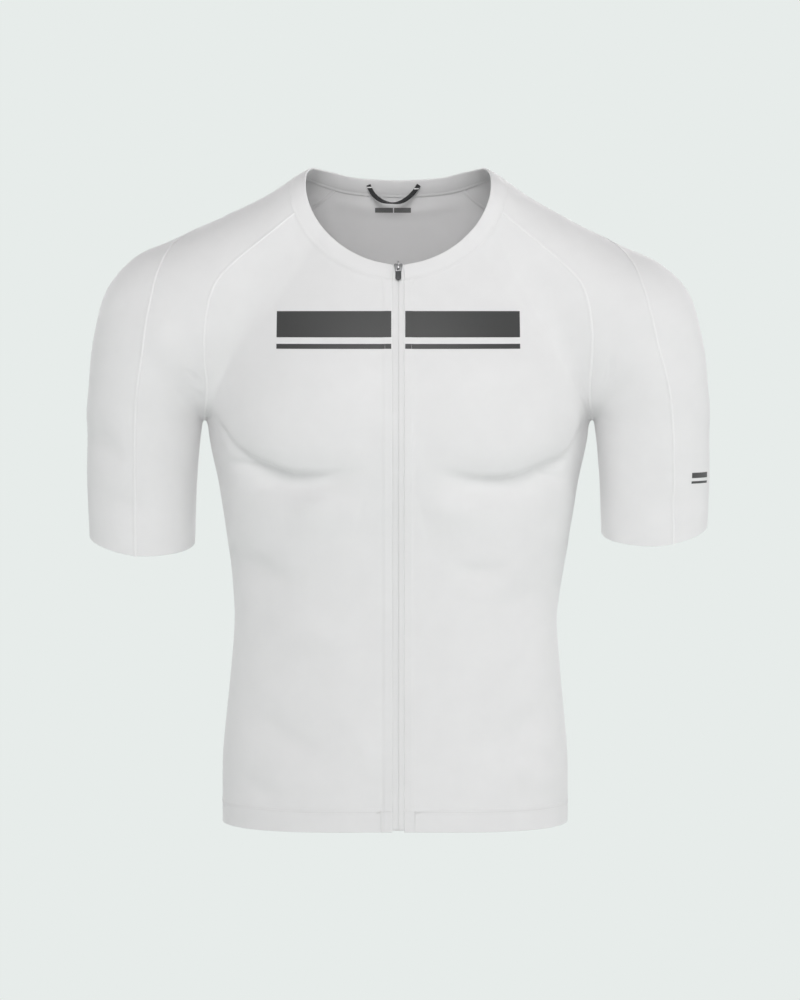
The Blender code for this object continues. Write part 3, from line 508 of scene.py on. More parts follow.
def cuff_points(turns, side):
    height = np.full(len(turns), CUFF_HEIGHT[side])
    zero = np.zeros(len(turns))
    ray = np.stack([np.cos(turns), -np.sin(turns), zero], axis=-1)
    for _ in range(4):
        start = np.stack([zero + CUFF_MIDDLE_X, zero, height], axis=-1)
        points = cast(start, ray, side, gap=limb_alone)
        outer = np.clip((points[:, 0] - CUFF_MIDDLE_X) / CUFF_RISE_WIDTH, 0, None)
        height = CUFF_HEIGHT[side] + CUFF_TILT * points[:, 1] + CUFF_RISE * outer ** 1.2
    return points


def cuff_turn(point):
    return math.atan2(-point[1], point[0] - CUFF_MIDDLE_X) % (2 * math.pi)


def overarm_points(side):
    points = np.array(OVERARM)
    share = (points[:, 2] - OVERARM_SHIFT_START) / (OVERARM_SHIFT_END - OVERARM_SHIFT_START)
    points[:, 0] += side * OVERARM_SHIFT * np.clip(share, 0, 1)
    return points


def seams(side):
    """The neck edge and the collar's seam of one side, where the panels' corners lie on that seam as shares,
    and the other seams, all as dense lines."""
    neck = surface_line(NECK_EDGE, side)
    collar = from_zip(beside(neck, side, COLLAR_WIDTH), ZIP_OPENING / 2)
    neck[-1, 0] = collar[-1, 0] = 0.0
    corners, lines = [0.0], {}
    for name, points in (
        ("raglan_front", RAGLAN_FRONT),
        ("overarm", overarm_points(side)),
        ("raglan_back", RAGLAN_BACK),
    ):
        corners.append(nearest_fraction(collar, points[0]))
        lines[name] = surface_line(points, side, first=sample(collar, np.array([corners[-1]]))[0])
    lines["underarm"] = surface_line(UNDERARM, side)
    lines["side"] = surface_line(SIDE_SEAM, side)
    return neck, collar, corners + [1.0], lines


def panel_grids(side):
    neck, collar, corners, lines = seams(side)
    tops = {}
    for name, first, last in zip(COLUMNS, corners[:-1], corners[1:]):
        tops[name] = sample(collar, first + (last - first) * COLUMNS[name])
    steps = {
        "raglan_front": RAGLAN_STEPS,
        "raglan_back": RAGLAN_STEPS,
        "side": SIDE_STEPS,
        "underarm": UNDER_STEPS,
    }
    joint = {name: sample(lines[name], step) for name, step in steps.items()}
    armpit = onto_garment(np.array([[ARMPIT_X, 0.0, ARMPIT_Z]]), side)[0]
    joint["raglan_front"][-1] = joint["raglan_back"][-1] = armpit
    joint["side"][0] = joint["underarm"][0] = armpit

    def edge(upper, lower):
        return np.concatenate([joint[upper], joint[lower][1:]])

    # Cuff: the underarm and overarm seams end on it.
    over_turn = cuff_turn(lines["overarm"][-1])
    under_turn = math.pi
    cuff_front = cuff_points(under_turn + (over_turn - under_turn) * COLUMNS["sleeve_front"], side)
    cuff_back = cuff_points(over_turn + (under_turn - 2 * math.pi - over_turn) * COLUMNS["sleeve_back"], side)
    overarm = sample(lines["overarm"], np.linspace(0, 1, RAGLAN_ROWS + SLEEVE_ROWS + 1))
    joint["underarm"][-1] = cuff_back[-1] = cuff_front[0]
    overarm[-1] = cuff_back[0] = cuff_front[-1]

    # Zip edge and hem
    hem_line = HEM_HEIGHT + HEM_BAND
    below = (ARMPIT_LEVEL + (hem_line - ARMPIT_LEVEL) * SIDE_STEPS)[1:]

    def middle_line(top, turn):
        """A line down from a point on the collar's seam to the hem's, turned from the middle of the front."""
        heights = np.concatenate([top[2] + (ARMPIT_LEVEL - top[2]) * RAGLAN_STEPS, below])
        return from_turn_and_height(np.stack([turn + np.zeros(len(heights)), heights], axis=-1), side)

    turn = 0.0
    for _ in range(4):
        zip_edge = middle_line(tops["front"][0], turn)
        turn = np.arctan2(ZIP_OPENING / 2, -zip_edge[:, 1])
    zip_edge[0] = tops["front"][0]
    back_middle = middle_line(tops["back"][-1], math.pi)
    back_middle[0] = tops["back"][-1]
    side_turn = turn_and_height(joint["side"][-1])[0]

    def hem_points(turns, height=hem_line):
        heights = height - HEM_DIP * np.sin(turns) ** 2
        return from_turn_and_height(np.stack([turns, heights], axis=-1), side)

    front_hem = hem_points(turn[-1] + (side_turn - turn[-1]) * COLUMNS["front"])
    back_hem = hem_points(side_turn + (math.pi - side_turn) * COLUMNS["back"])
    front_edge, back_edge = edge("raglan_front", "side"), edge("raglan_back", "side")
    front_edge[-1] = back_edge[-1] = front_hem[-1] = back_hem[0]

    grids = {
        "front": body_grid(tops["front"], front_hem, zip_edge, front_edge, COLUMNS["front"], side),
        "back": body_grid(tops["back"], back_hem, back_edge, back_middle, COLUMNS["back"], side),
        "sleeve_front": limb_grid(tops["sleeve_front"], cuff_front, edge("raglan_front", "underarm"), overarm,
                                  COLUMNS["sleeve_front"], side, SLEEVE_FRONT_PAST),
        "sleeve_back": limb_grid(tops["sleeve_back"][::-1], cuff_back[::-1], edge("raglan_back", "underarm"),
                                 overarm, COLUMNS["sleeve_back"], side, SLEEVE_BACK_PAST),
    }

    # Collar, from the neck edge down to its seam, and hem band, from its seam down to the hem
    collar_seam = np.concatenate([tops["front"]] + [tops[name][1:] for name in list(COLUMNS)[1:]])
    neck_edge = sample(neck, np.array([nearest_fraction(collar, point) for point in collar_seam]))
    lift = np.linspace(0, 1, COLLAR_ROWS)[:, None, None]
    grids["collar"] = onto_garment(neck_edge * (1 - lift) + collar_seam * lift, side)
    hem_seam = np.concatenate([front_hem, back_hem[1:]])
    hem_turns = turn_and_height(hem_seam)[:, 0]
    lower = [hem_points(hem_turns, height) for height in np.linspace(hem_line, HEM_HEIGHT, HEM_ROWS)[1:]]
    grids["hem"] = np.stack([hem_seam] + lower)
    return grids


# Finer grids, from the panels' own rows and columns

# Distances from a panel's edges where the finer rows and columns lie, and how far apart they lie elsewhere
SEWN = (0.0, 0.0004, 0.0009, 0.0015, 0.0022, 0.0032, 0.0046)
FREE = (0.0, 0.00012, 0.0003, 0.0006, 0.0011, 0.0020, 0.0034)
ZIP_SIDE = (0.0, 0.00012, 0.0003, 0.0006, 0.0011, 0.0020, 0.0032, 0.0044, 0.0054, 0.0062, 0.0068,
            0.0074, 0.0080, 0.0088, 0.0100, 0.0120)
JOINED = (0.0,)
CELL = 0.0031
FRONT_CELL = 0.0023
COLLAR_CELL = 0.0016
HEM_CELL = 0.0018
RAGLAN_LENGTH = 0.230
SIDE_LENGTH = 0.345
UNDERARM_LENGTH = 0.115
FRONT_WIDTH = 0.240
BACK_WIDTH = 0.230
SLEEVE_FRONT_WIDTH = 0.100
SLEEVE_BACK_WIDTH = 0.230


def shares_of(length, near_start, near_end, step=CELL):
    """Shares of a length: given distances near both ends and even steps between them."""
    first, last = near_start[-1], length - near_end[-1]
    middle = np.linspace(first, last, max(2, round((last - first) / step) + 1))
    ends = length - np.array(near_end[:-1])[::-1]
    return np.concatenate([near_start[:-1], middle, ends]) / length


def weights(known, wanted):
    """What each known row or column gives to each wanted one on a smooth curve."""
    return np.stack([smooth_curve(known, one, edge_order=2)(wanted) for one in np.eye(len(known))], axis=-1)


def finer(grid, rows, columns, side):
    """A grid with finer rows and columns. Both are lists of (first, last, known, wanted): a run of the
    grid's rows or columns, where they lie on it as shares, and where the new ones lie."""
    tall = []
    for first, last, known, wanted in rows:
        part = np.einsum("ri,ijk->rjk", weights(known, wanted), grid[first:last + 1])
        tall.append(part[1:] if tall else part)
    tall = np.concatenate(tall)
    wide = []
    for first, last, known, wanted in columns:
        part = np.einsum("cj,rjk->rck", weights(known, wanted), tall[:, first:last + 1])
        wide.append(part[:, 1:] if wide else part)
    return onto_garment(np.concatenate(wide, axis=1), side, rounds=8)


# Around the armpit, where the raglan seam turns into the side or underarm seam, the fine rows and columns are
# evened out: within EASE rows and columns of the corner, in EASE_ROUNDS rounds.
EASE = 14
EASE_WIDE = 30
EASE_SLEEVE = 26
EASE_ROUNDS = 60
EASE_HOLD = 1.4
EASE_SPEED = 0.8


def eased(grid, corner, side, wide=EASE):
    """A grid whose first column turns at the row called corner, with its points there spread evenly."""
    rows = np.arange(corner - EASE, corner + EASE + 1)
    far = grid[corner - EASE, :wide + 2]
    across = np.linalg.norm(np.diff(far, axis=0), axis=1)
    tall = np.linalg.norm(np.diff(grid[corner - EASE - 1:corner + EASE + 2, wide], axis=0), axis=1)
    left, right = 1 / across[:-1], 1 / across[1:]
    above, below = (1 / tall[:-1])[:, None], (1 / tall[1:])[:, None]
    total = left + right + above + below
    off = np.abs(rows - corner) / (EASE + 1)
    aside = np.arange(1, wide + 1) / (wide + 1)
    hold = np.clip(EASE_HOLD * (1 - np.maximum(off[:, None], aside[None])), 0, 1)[..., None]
    grid = grid.copy()
    low, high = corner - EASE, corner + EASE + 1
    for _ in range(EASE_ROUNDS):
        mean = (grid[low:high, :wide] * left[:, None] + grid[low:high, 2:wide + 2] * right[:, None]
                + grid[low - 1:high - 1, 1:wide + 1] * above[..., None]
                + grid[low + 1:high + 1, 1:wide + 1] * below[..., None]) / total[..., None]
        inner = grid[low:high, 1:wide + 1]
        grid[low:high, 1:wide + 1] = inner + EASE_SPEED * hold * (mean - inner)
    grid[low:high, 1:wide + 1] = onto_garment(grid[low:high, 1:wide + 1], side, rounds=6)
    return grid


def fine_grids(side):
    grids = panel_grids(side)
    fine_columns = {
        "front": shares_of(FRONT_WIDTH, ZIP_SIDE, SEWN, FRONT_CELL),
        "sleeve_front": shares_of(SLEEVE_FRONT_WIDTH, SEWN, SEWN),
        "sleeve_back": shares_of(SLEEVE_BACK_WIDTH, SEWN, SEWN),
        "back": shares_of(BACK_WIDTH, SEWN, JOINED),
    }

    def body_rows(step):
        upper = (0, RAGLAN_ROWS, RAGLAN_STEPS, shares_of(RAGLAN_LENGTH, SEWN, JOINED, step))
        side_shares = shares_of(SIDE_LENGTH, JOINED, SEWN, step)
        return [upper, (RAGLAN_ROWS, RAGLAN_ROWS + SIDE_ROWS, SIDE_STEPS, side_shares)]

    def runs(*names):
        """The columns of panels in a row. Beside others, the sleeve's back piece runs the other way."""
        found, first = [], 0
        for name in names:
            known, wanted = COLUMNS[name], fine_columns[name]
            if name == "sleeve_back" and len(names) > 1:
                known, wanted = 1 - known[::-1], 1 - wanted[::-1]
            found.append((first, first + len(known) - 1, known, wanted))
            first += len(known) - 1
        return found

    under_shares = shares_of(UNDERARM_LENGTH, JOINED, FREE)
    under_rows = (RAGLAN_ROWS, RAGLAN_ROWS + SLEEVE_ROWS, UNDER_STEPS, under_shares)
    sleeve_rows = [body_rows(CELL)[0], under_rows]
    made = {}
    for name, rows, wide, turn in (
        ("front", body_rows(FRONT_CELL), EASE, -1),
        ("back", body_rows(CELL), EASE, 1),
        ("sleeve_front", sleeve_rows, EASE_SLEEVE, 1),
        ("sleeve_back", sleeve_rows, EASE_WIDE, 1),
    ):
        grid = finer(grids[name], rows, runs(name), side)
        made[name] = eased(grid[:, ::turn], len(rows[0][3]) - 1, side, wide)[:, ::turn]
    for name, count, wanted, around in (
        ("collar", COLLAR_ROWS, shares_of(COLLAR_WIDTH, FREE, SEWN, COLLAR_CELL), runs(*COLUMNS)),
        ("hem", HEM_ROWS, shares_of(HEM_BAND, SEWN, FREE, HEM_CELL), runs("front", "back")),
    ):
        made[name] = finer(grids[name], [(0, count - 1, np.linspace(0, 1, count), wanted)], around, side)
    return made


def to_world(grid, side):
    return grid * np.array([side, 1.0, 1.0])


def shrink(grid, normals, free, amount=SEAM_GAP / 2):
    """Moves the grid's sewn edges in along the cloth. free names the edges that stay."""
    moved = grid.copy()
    every = slice(None)
    for name, edge, inner in (
        ("top", (0, every), (1, every)),
        ("bottom", (-1, every), (-2, every)),
        ("start", (every, 0), (every, 1)),
        ("end", (every, -1), (every, -2)),
    ):
        if name in free:
            continue
        across = unit(np.cross(tangents(grid[edge]), normals[edge]))
        toward = np.sign(((grid[inner] - grid[edge]) * across).sum(axis=1, keepdims=True))
        moved[edge] += across * toward * amount
    return moved


def join_halves(parts):
    if len(parts) == 1:
        return parts[0]
    right, left = parts
    return np.concatenate([right[:, :-1], left[:, ::-1]], axis=1)


def zip_edges(grids):
    """Outer points of the front's two columns beside the zip, from the neck edge down to the hem."""
    return np.concatenate([grids["collar"][:-1, :2], grids["front"][:, :2], grids["hem"][1:, :2]])


def zip_rows(grids):
    """The zip's middle line, from the neck edge to the hem, and its outward direction."""
    line = zip_edges(grids)[:, 0] * np.array([0.0, 1.0, 1.0])
    normal, _ = outward(line)
    normal[:, 0] = 0
    return line, unit(normal)


def slider_frame(line, normal, top):
    """Where the slider sits: x across, y into the cloth, z up along the zip."""
    fractions, _ = arc_fractions(line)
    at = np.array([np.interp(SLIDER_DROP - top, -line[:, 2], fractions)])
    out = Vector(sample_rows(normal, fractions, at)[0]).normalized()
    across = Vector((1, 0, 0))
    turn = Matrix((across, -out, across.cross(-out))).transposed().to_4x4()
    return Matrix.Translation(Vector(sample(line, at)[0])) @ turn


# Creases, listed one by one: face (-1 front, 1 back), depth (a negative one is a ridge), how wide the crease
# is above and below its line, and x and z of a few points on the line, from its start to its end.
CREASES = (
    # under the chest: the broad fold and the fuller cloth above it, a narrow fold from the armpit into it,
    # and short side folds
    (-1, -0.0058, 0.03, 0.017, ((-0.168, -0.236), (-0.126, -0.254), (-0.084, -0.26), (-0.026, -0.254))),
    (-1, 0.0062, 0.0085, 0.024, ((-0.162, -0.262), (-0.132, -0.28), (-0.1, -0.2915), (-0.07, -0.2915),
     (-0.022, -0.279))),
    (-1, 0.0025, 0.0034, 0.0052, ((-0.18, -0.228), (-0.164, -0.245), (-0.15, -0.261), (-0.134, -0.275),
     (-0.104, -0.288))),
    (-1, 0.0048, 0.0062, 0.0125, ((-0.158, -0.26), (-0.132, -0.277), (-0.104, -0.29), (-0.076, -0.29),
     (-0.046, -0.283))),
    (-1, 0.0026, 0.0032, 0.0046, ((-0.164, -0.278), (-0.146, -0.2775), (-0.126, -0.281))),
    (-1, 0.001, 0.0024, 0.003, ((-0.176, -0.232), (-0.17, -0.242), (-0.158, -0.25))),
    (-1, -0.0058, 0.03, 0.018, ((0.17, -0.238), (0.128, -0.257), (0.086, -0.262), (0.024, -0.255))),
    (-1, 0.0062, 0.0085, 0.025, ((0.164, -0.266), (0.136, -0.283), (0.104, -0.2955), (0.07, -0.2945),
     (0.02, -0.281))),
    (-1, 0.0024, 0.0036, 0.0054, ((0.182, -0.232), (0.168, -0.256), (0.15, -0.275), (0.124, -0.287))),
    (-1, 0.0046, 0.0064, 0.013, ((0.16, -0.267), (0.134, -0.283), (0.104, -0.2945), (0.072, -0.293),
     (0.036, -0.283))),
    (-1, 0.0022, 0.0028, 0.0038, ((0.162, -0.274), (0.147, -0.2785), (0.128, -0.286))),
    (-1, 0.002, 0.0028, 0.0038, ((0.16, -0.294), (0.146, -0.289), (0.128, -0.287))),
    # armpits and below them along the sides
    (-1, 0.0044, 0.01, 0.0042, ((-0.183, -0.223), (-0.179, -0.238), (-0.174, -0.256), (-0.169, -0.282),
     (-0.163, -0.318))),
    (-1, 0.0044, 0.01, 0.0042, ((0.184, -0.223), (0.18, -0.238), (0.1745, -0.256), (0.169, -0.282),
     (0.164, -0.318))),
    (-1, 0.0018, 0.0026, 0.0034, ((-0.2, -0.188), (-0.191, -0.196), (-0.182, -0.205))),
    (-1, 0.001, 0.0026, 0.0036, ((-0.198, -0.206), (-0.186, -0.214), (-0.176, -0.226))),
    (-1, 0.002, 0.003, 0.0036, ((0.197, -0.174), (0.196, -0.192), (0.191, -0.21))),
    # belly
    (-1, 0.006, 0.016, 0.019, ((-0.164, -0.36), (-0.13, -0.377), (-0.088, -0.396))),
    (-1, -0.005, 0.015, 0.02, ((-0.106, -0.324), (-0.07, -0.318), (-0.036, -0.327))),
    (-1, -0.0052, 0.015, 0.02, ((0.022, -0.324), (0.052, -0.317), (0.09, -0.33))),
    (-1, 0.0036, 0.009, 0.012, ((0.046, -0.373), (0.076, -0.377), (0.108, -0.372))),
    (-1, 0.0032, 0.012, 0.016, ((0.07, -0.416), (0.112, -0.404), (0.156, -0.384))),
    (-1, -0.003, 0.016, 0.019, ((-0.12, -0.44), (-0.08, -0.436), (-0.04, -0.444))),
    (-1, 0.0038, 0.014, 0.018, ((-0.156, -0.498), (-0.108, -0.53), (-0.052, -0.554))),
    (-1, 0.0034, 0.014, 0.018, ((0.064, -0.552), (0.11, -0.526), (0.158, -0.492))),
    (-1, -0.0014, 0.009, 0.009, ((-0.058, -0.5), (-0.036, -0.535), (-0.02, -0.572))),
    (-1, 0.003, 0.012, 0.013, ((-0.16, -0.562), (-0.132, -0.582), (-0.096, -0.59))),
    (-1, -0.0028, 0.011, 0.012, ((0.102, -0.556), (0.126, -0.566), (0.15, -0.582))),
    # sleeves, front
    (-1, 0.004, 0.011, 0.014, ((-0.296, -0.244), (-0.276, -0.26), (-0.252, -0.284))),
    (-1, 0.0025, 0.01, 0.012, ((-0.288, -0.304), (-0.258, -0.316), (-0.226, -0.322))),
    (-1, -0.0034, 0.016, 0.018, ((-0.236, -0.14), (-0.214, -0.17), (-0.2, -0.2))),
    (-1, 0.0026, 0.012, 0.014, ((0.218, -0.146), (0.246, -0.168), (0.274, -0.2))),
    (-1, 0.0022, 0.01, 0.012, ((0.23, -0.32), (0.262, -0.312), (0.294, -0.298))),
    (-1, 0.0026, 0.013, 0.015, ((-0.274, -0.152), (-0.248, -0.132), (-0.218, -0.114))),
    # back: under the arms and shoulder blades, the small of the back, sleeves, and below the collar
    (1, 0.0036, 0.005, 0.007, ((-0.19, -0.226), (-0.158, -0.248), (-0.118, -0.264))),
    (1, 0.0036, 0.005, 0.007, ((0.19, -0.224), (0.162, -0.25), (0.126, -0.27))),
    (1, 0.0023, 0.0045, 0.006, ((-0.184, -0.246), (-0.15, -0.278), (-0.11, -0.302))),
    (1, 0.0022, 0.0045, 0.0055, ((0.182, -0.25), (0.15, -0.276), (0.118, -0.294))),
    (1, 0.0036, 0.007, 0.009, ((-0.132, -0.398), (-0.06, -0.41), (0.03, -0.406), (0.12, -0.39))),
    (1, 0.0029, 0.0065, 0.008, ((-0.094, -0.432), (0.02, -0.44), (0.138, -0.424))),
    (1, 0.0022, 0.0055, 0.007, ((-0.142, -0.444), (-0.06, -0.46), (0.042, -0.458))),
    (1, 0.0018, 0.0055, 0.007, ((-0.014, -0.488), (0.05, -0.484), (0.112, -0.474))),
    (1, 0.0027, 0.004, 0.005, ((-0.206, -0.19), (-0.192, -0.208), (-0.176, -0.228))),
    (1, 0.0025, 0.004, 0.005, ((0.206, -0.188), (0.192, -0.206), (0.178, -0.224))),
    (1, 0.0022, 0.007, 0.009, ((-0.286, -0.258), (-0.256, -0.272), (-0.224, -0.28))),
    (1, 0.0022, 0.007, 0.009, ((0.286, -0.25), (0.258, -0.266), (0.228, -0.276))),
    (1, 0.0022, 0.013, 0.013, ((-0.012, -0.06), (-0.004, -0.2), (0.004, -0.34))),
    (1, 0.0014, 0.0055, 0.0065, ((-0.082, -0.028), (0.0, -0.038), (0.078, -0.03))),
)
CREASE_TURN = 0.022
CREASE_SWELL = 1.1
CREASE_POINTS = 25
CREASE_REACH = 3.0

# Cloth as it is cut
KNIT = 0.0007
BINDING = 0.0017
BINDING_CROWN = 0.0004
BAND = 0.0011
TOP_BODY = "top"
PULL_BODY = "pull_tab"

# How far the cloth rises beside a sewn edge, and over the zip's tape
SEAM_RISE = 0.00035
SEAM_REACH = 0.0016
TAPE_STEP_AT = 0.0068
TAPE_STEP_SOFT = 0.0016
TAPE_STEP = 0.0004


def crease_gap(points):
    """How far the creases push the cloth in at points in the world."""
    flat = points.reshape(-1, 3)
    places, total = flat[:, [0, 2]], np.zeros(len(flat))
    for face, depth, above, below, line in CREASES:
        line = curve_points(line, CREASE_POINTS)
        reach = CREASE_REACH * below
        inside = (places > line.min(axis=0) - reach) & (places < line.max(axis=0) + reach)
        near = inside.all(axis=1) & (face * flat[:, 1] > 0)
        place = places[near]
        if not len(place):
            continue
        start, step = line[:-1], np.diff(line, axis=0)
        length2 = (step ** 2).sum(axis=1)
        t = np.clip(((place[:, None] - start) * step).sum(axis=2) / length2, 0, 1)
        away = place[:, None] - start - t[..., None] * step
        distance = np.linalg.norm(away, axis=2)
        best = distance.argmin(axis=1)
        pick = np.arange(len(place))
        share = (best + t[pick, best]) / (CREASE_POINTS - 1)
        down_line = np.stack([step[:, 1], -step[:, 0]], axis=-1) * np.where(step[:, :1] < 0, -1, 1)
        lower = np.sign((away[pick, best] * down_line[best]).sum(axis=1))
        swell = np.sin(math.pi * share) ** CREASE_SWELL
        turned = np.clip(face * flat[near, 1] / CREASE_TURN, 0, 1)
        soft = turned * turned * (3 - 2 * turned)
        across = distance[pick, best] / np.where(lower < 0, above, below)
        total[near] += soft * depth * swell * np.exp(-across ** 2)
    return total.reshape(points.shape[:-1])


# Meshes from grids

def along(grid):
    """Distance from the first column, along each row."""
    steps = np.linalg.norm(np.diff(grid, axis=1), axis=2)
    return np.concatenate([np.zeros((len(grid), 1)), np.cumsum(steps, axis=1)], axis=1)


def down(grid):
    return along(grid.swapaxes(0, 1)).T


def edge_distances(grid):
    right, low = along(grid), down(grid)
    return {"start": right, "end": right[:, -1:] - right, "top": low, "bottom": low[-1:] - low}


def own_normals(grid, guide):
    """Directions at right angles to a fine grid, on the side that guide points to."""
    normal = np.cross(np.gradient(grid, axis=0), np.gradient(grid, axis=1))
    normal /= np.maximum(np.linalg.norm(normal, axis=-1, keepdims=True), 1e-12)
    facing = (normal * guide).sum(axis=-1, keepdims=True)
    normal = np.where(facing < 0, -normal, normal)
    return unit(np.where(np.abs(facing) > 0.5, normal, guide))


def grid_rim(rows, columns):
    rim = [k * columns for k in range(rows)]
    rim += [(rows - 1) * columns + k for k in range(1, columns)]
    rim += [k * columns + columns - 1 for k in range(rows - 2, -1, -1)]
    return np.array(rim + list(range(columns - 2, 0, -1)))


def mesh_of(model, name):
    mesh = bpy.data.meshes.new(name)
    model.to_mesh(mesh)
    model.free()
    return mesh


def shell_mesh(name, front, back, metric):
    """A closed shell between two grids, with its true lengths as texture coordinates."""
    rows, columns = front.shape[:2]
    count = rows * columns
    i, j = np.meshgrid(np.arange(rows - 1), np.arange(columns - 1), indexing="ij")
    a = (i * columns + j).ravel()
    quads = np.stack([a, a + 1, a + columns + 1, a + columns], axis=1)
    ring = grid_rim(rows, columns)
    after = np.roll(ring, -1)
    sides = np.stack([ring, after, after + count, ring + count], axis=1)
    faces = np.concatenate([quads, quads[:, ::-1] + count, sides])
    points = np.concatenate([front.reshape(-1, 3), back.reshape(-1, 3)])
    mesh = bpy.data.meshes.new(name)
    mesh.from_pydata(points.tolist(), [], faces.tolist())
    coords = np.stack([metric[0].ravel(), metric[1].ravel()], axis=1)
    coords = np.concatenate([coords, coords])
    model = bmesh.new()
    model.from_mesh(mesh)
    bmesh.ops.recalc_face_normals(model, faces=model.faces)
    model.to_mesh(mesh)
    model.free()
    layer = mesh.uv_layers.new(name="cloth")
    corners = np.zeros(len(mesh.loops), dtype=np.int32)
    mesh.loops.foreach_get("vertex_index", corners)
    layer.data.foreach_set("uv", coords[corners].astype(np.float32).ravel())
    mesh.shade_smooth()
    return mesh


def add_object(name, data):
    thing = bpy.data.objects.new(name, data)
    bpy.context.scene.collection.objects.link(thing)
    return thing


def add_piece(name, mesh, material, body=TOP_BODY, slot=None, replaces=()):
    thing = add_object(name, mesh)
    mesh.materials.clear()
    mesh.materials.append(material)
    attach(thing, body)
    if replaces:
        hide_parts(*replaces)


def seam_rise(distances, edges):
    total = np.zeros_like(distances["top"])
    for edge in edges:
        total += SEAM_RISE * np.exp(-(distances[edge] / SEAM_REACH) ** 2)
    return total


EDGE_ROUND = 0.46


def rounded_edges(distances, edges, thick):
    """How far both faces pull in beside free edges, so that the edge is round."""
    pull = np.zeros_like(thick)
    for edge in edges:
        near = np.clip(distances[edge] / (thick / 2), 0, 1)
        pull = np.maximum(pull, thick * EDGE_ROUND * (1 - np.sqrt(1 - (1 - near) ** 2)))
    return pull


def cloth(name, halves, material, free, sewn, thickness=KNIT, shape=None, slot="white_knit", rounded=None):
    """One panel from a grid, or from a right and a left grid that meet in the middle. shape gives, from the
    distances to the edges, how far the outer face rises and how much thicker the cloth is."""
    parts = []
    for side, grid in halves:
        normals = outward(grid, side)[0]
        distances = edge_distances(grid)
        world = to_world(shrink(grid, normals, free), side)
        rise, more = shape(distances) if shape else (0.0, 0.0)
        lift = seam_rise(distances, sewn) + rise - crease_gap(world)
        thick = np.zeros_like(lift) + thickness + more
        parts.append((world, to_world(normals, side), lift[..., None], thick[..., None]))
    world, guide, lift, thick = (join_halves(part) for part in zip(*parts))
    world = world + guide * lift
    normals = own_normals(world, guide)
    distances = edge_distances(world)
    pull = rounded_edges(distances, free if rounded is None else rounded, thick[..., 0])[..., None]
    front = world - normals * pull
    back = world - normals * (thick - pull)
    metric = (along(world) - along(world)[:, -1:] / 2, down(world))
    add_piece(name + "_cloth", shell_mesh(name, front, back, metric), material, slot=slot, replaces=(name,))


# Materials

NOISE_RANGE = (0.3, 0.7)
GLOW_REACH = 0.0014
SHEEN_ROUGHNESS = 0.45
KNIT_SPECULAR = 0.3
GLOW = 0.35
KNIT_STRENGTH = 0.35
KNIT_MOTTLE = 0.012
MOTTLE_SCALE = 38.0
MOTTLE_DETAIL = 4.0
COURSE_SHARE = 0.6
GRAIN_DETAIL = 3.0
GRAIN_STRENGTH = 0.4


def new_material(name):
    material = bpy.data.materials.new(name)
    material.use_nodes = True
    tree = material.node_tree
    shader = next(node for node in tree.nodes if node.type == "BSDF_PRINCIPLED")
    return material, tree, shader


def set_inputs(node, **values):
    """Sets inputs of a node. In their names an underscore stands for a space."""
    for name, value in values.items():
        node.inputs[name.replace("_", " ")].default_value = value


def add_node(tree, kind, **values):
    made = tree.nodes.new(kind)
    for key, value in values.items():
        setattr(made, key, value)
    return made


def computed(tree, operation, first, second=None):
    made = add_node(tree, "ShaderNodeMath", operation=operation)
    for socket, value in zip(made.inputs, (first, second)):
        if isinstance(value, (int, float)):
            socket.default_value = value
        elif value is not None:
            tree.links.new(value, socket)
    return made.outputs[0]


def bumped(tree, shader, height, depth, strength):
    bump = add_node(tree, "ShaderNodeBump")
    set_inputs(bump, Strength=strength, Distance=depth)
    tree.links.new(height, bump.inputs["Height"])
    tree.links.new(bump.outputs["Normal"], shader.inputs["Normal"])


def mottled(tree, shader, colour, fac, spread):
    """The base colour, a little lighter and darker with fac, which lies mostly in NOISE_RANGE."""
    ramp = add_node(tree, "ShaderNodeMapRange")
    set_inputs(ramp, From_Min=NOISE_RANGE[0], From_Max=NOISE_RANGE[1], To_Min=1 - spread, To_Max=1 + spread)
    tree.links.new(fac, ramp.inputs["Value"])
    tint = add_node(tree, "ShaderNodeVectorMath", operation="SCALE")
    tint.inputs[0].default_value = colour
    tree.links.new(ramp.outputs["Result"], tint.inputs["Scale"])
    tree.links.new(tint.outputs[0], shader.inputs["Base Color"])


def noise_at(tree, scale, detail):
    spot = add_node(tree, "ShaderNodeTexCoord")
    noise = add_node(tree, "ShaderNodeTexNoise")
    set_inputs(noise, Scale=scale, Detail=detail)
    tree.links.new(spot.outputs["Object"], noise.inputs["Vector"])
    return noise.outputs["Fac"]


def knit_material(name, colour, wale, course, depth, roughness=0.72, sheen=0.25):
    """Fine knit: rows of small loops along the cloth's own lengths, with a faint mottle."""
    material, tree, shader = new_material(name)
    place = add_node(tree, "ShaderNodeUVMap", uv_map="cloth")
    split = add_node(tree, "ShaderNodeSeparateXYZ")
    tree.links.new(place.outputs["UV"], split.inputs[0])

    def wave(axis, length):
        return computed(tree, "SINE", computed(tree, "MULTIPLY", split.outputs[axis], 2 * math.pi / length))

    rows = computed(tree, "MULTIPLY", wave("Y", course), COURSE_SHARE)
    bumped(tree, shader, computed(tree, "ADD", wave("X", wale), rows), depth, KNIT_STRENGTH)
    mottled(tree, shader, colour, noise_at(tree, MOTTLE_SCALE, MOTTLE_DETAIL), KNIT_MOTTLE)
    set_inputs(shader, Roughness=roughness, Sheen_Weight=sheen, Sheen_Roughness=SHEEN_ROUGHNESS,
               Specular_IOR_Level=KNIT_SPECULAR, Subsurface_Weight=GLOW,
               Subsurface_Radius=(1.0, 1.0, 1.0), Subsurface_Scale=GLOW_REACH)
    return material


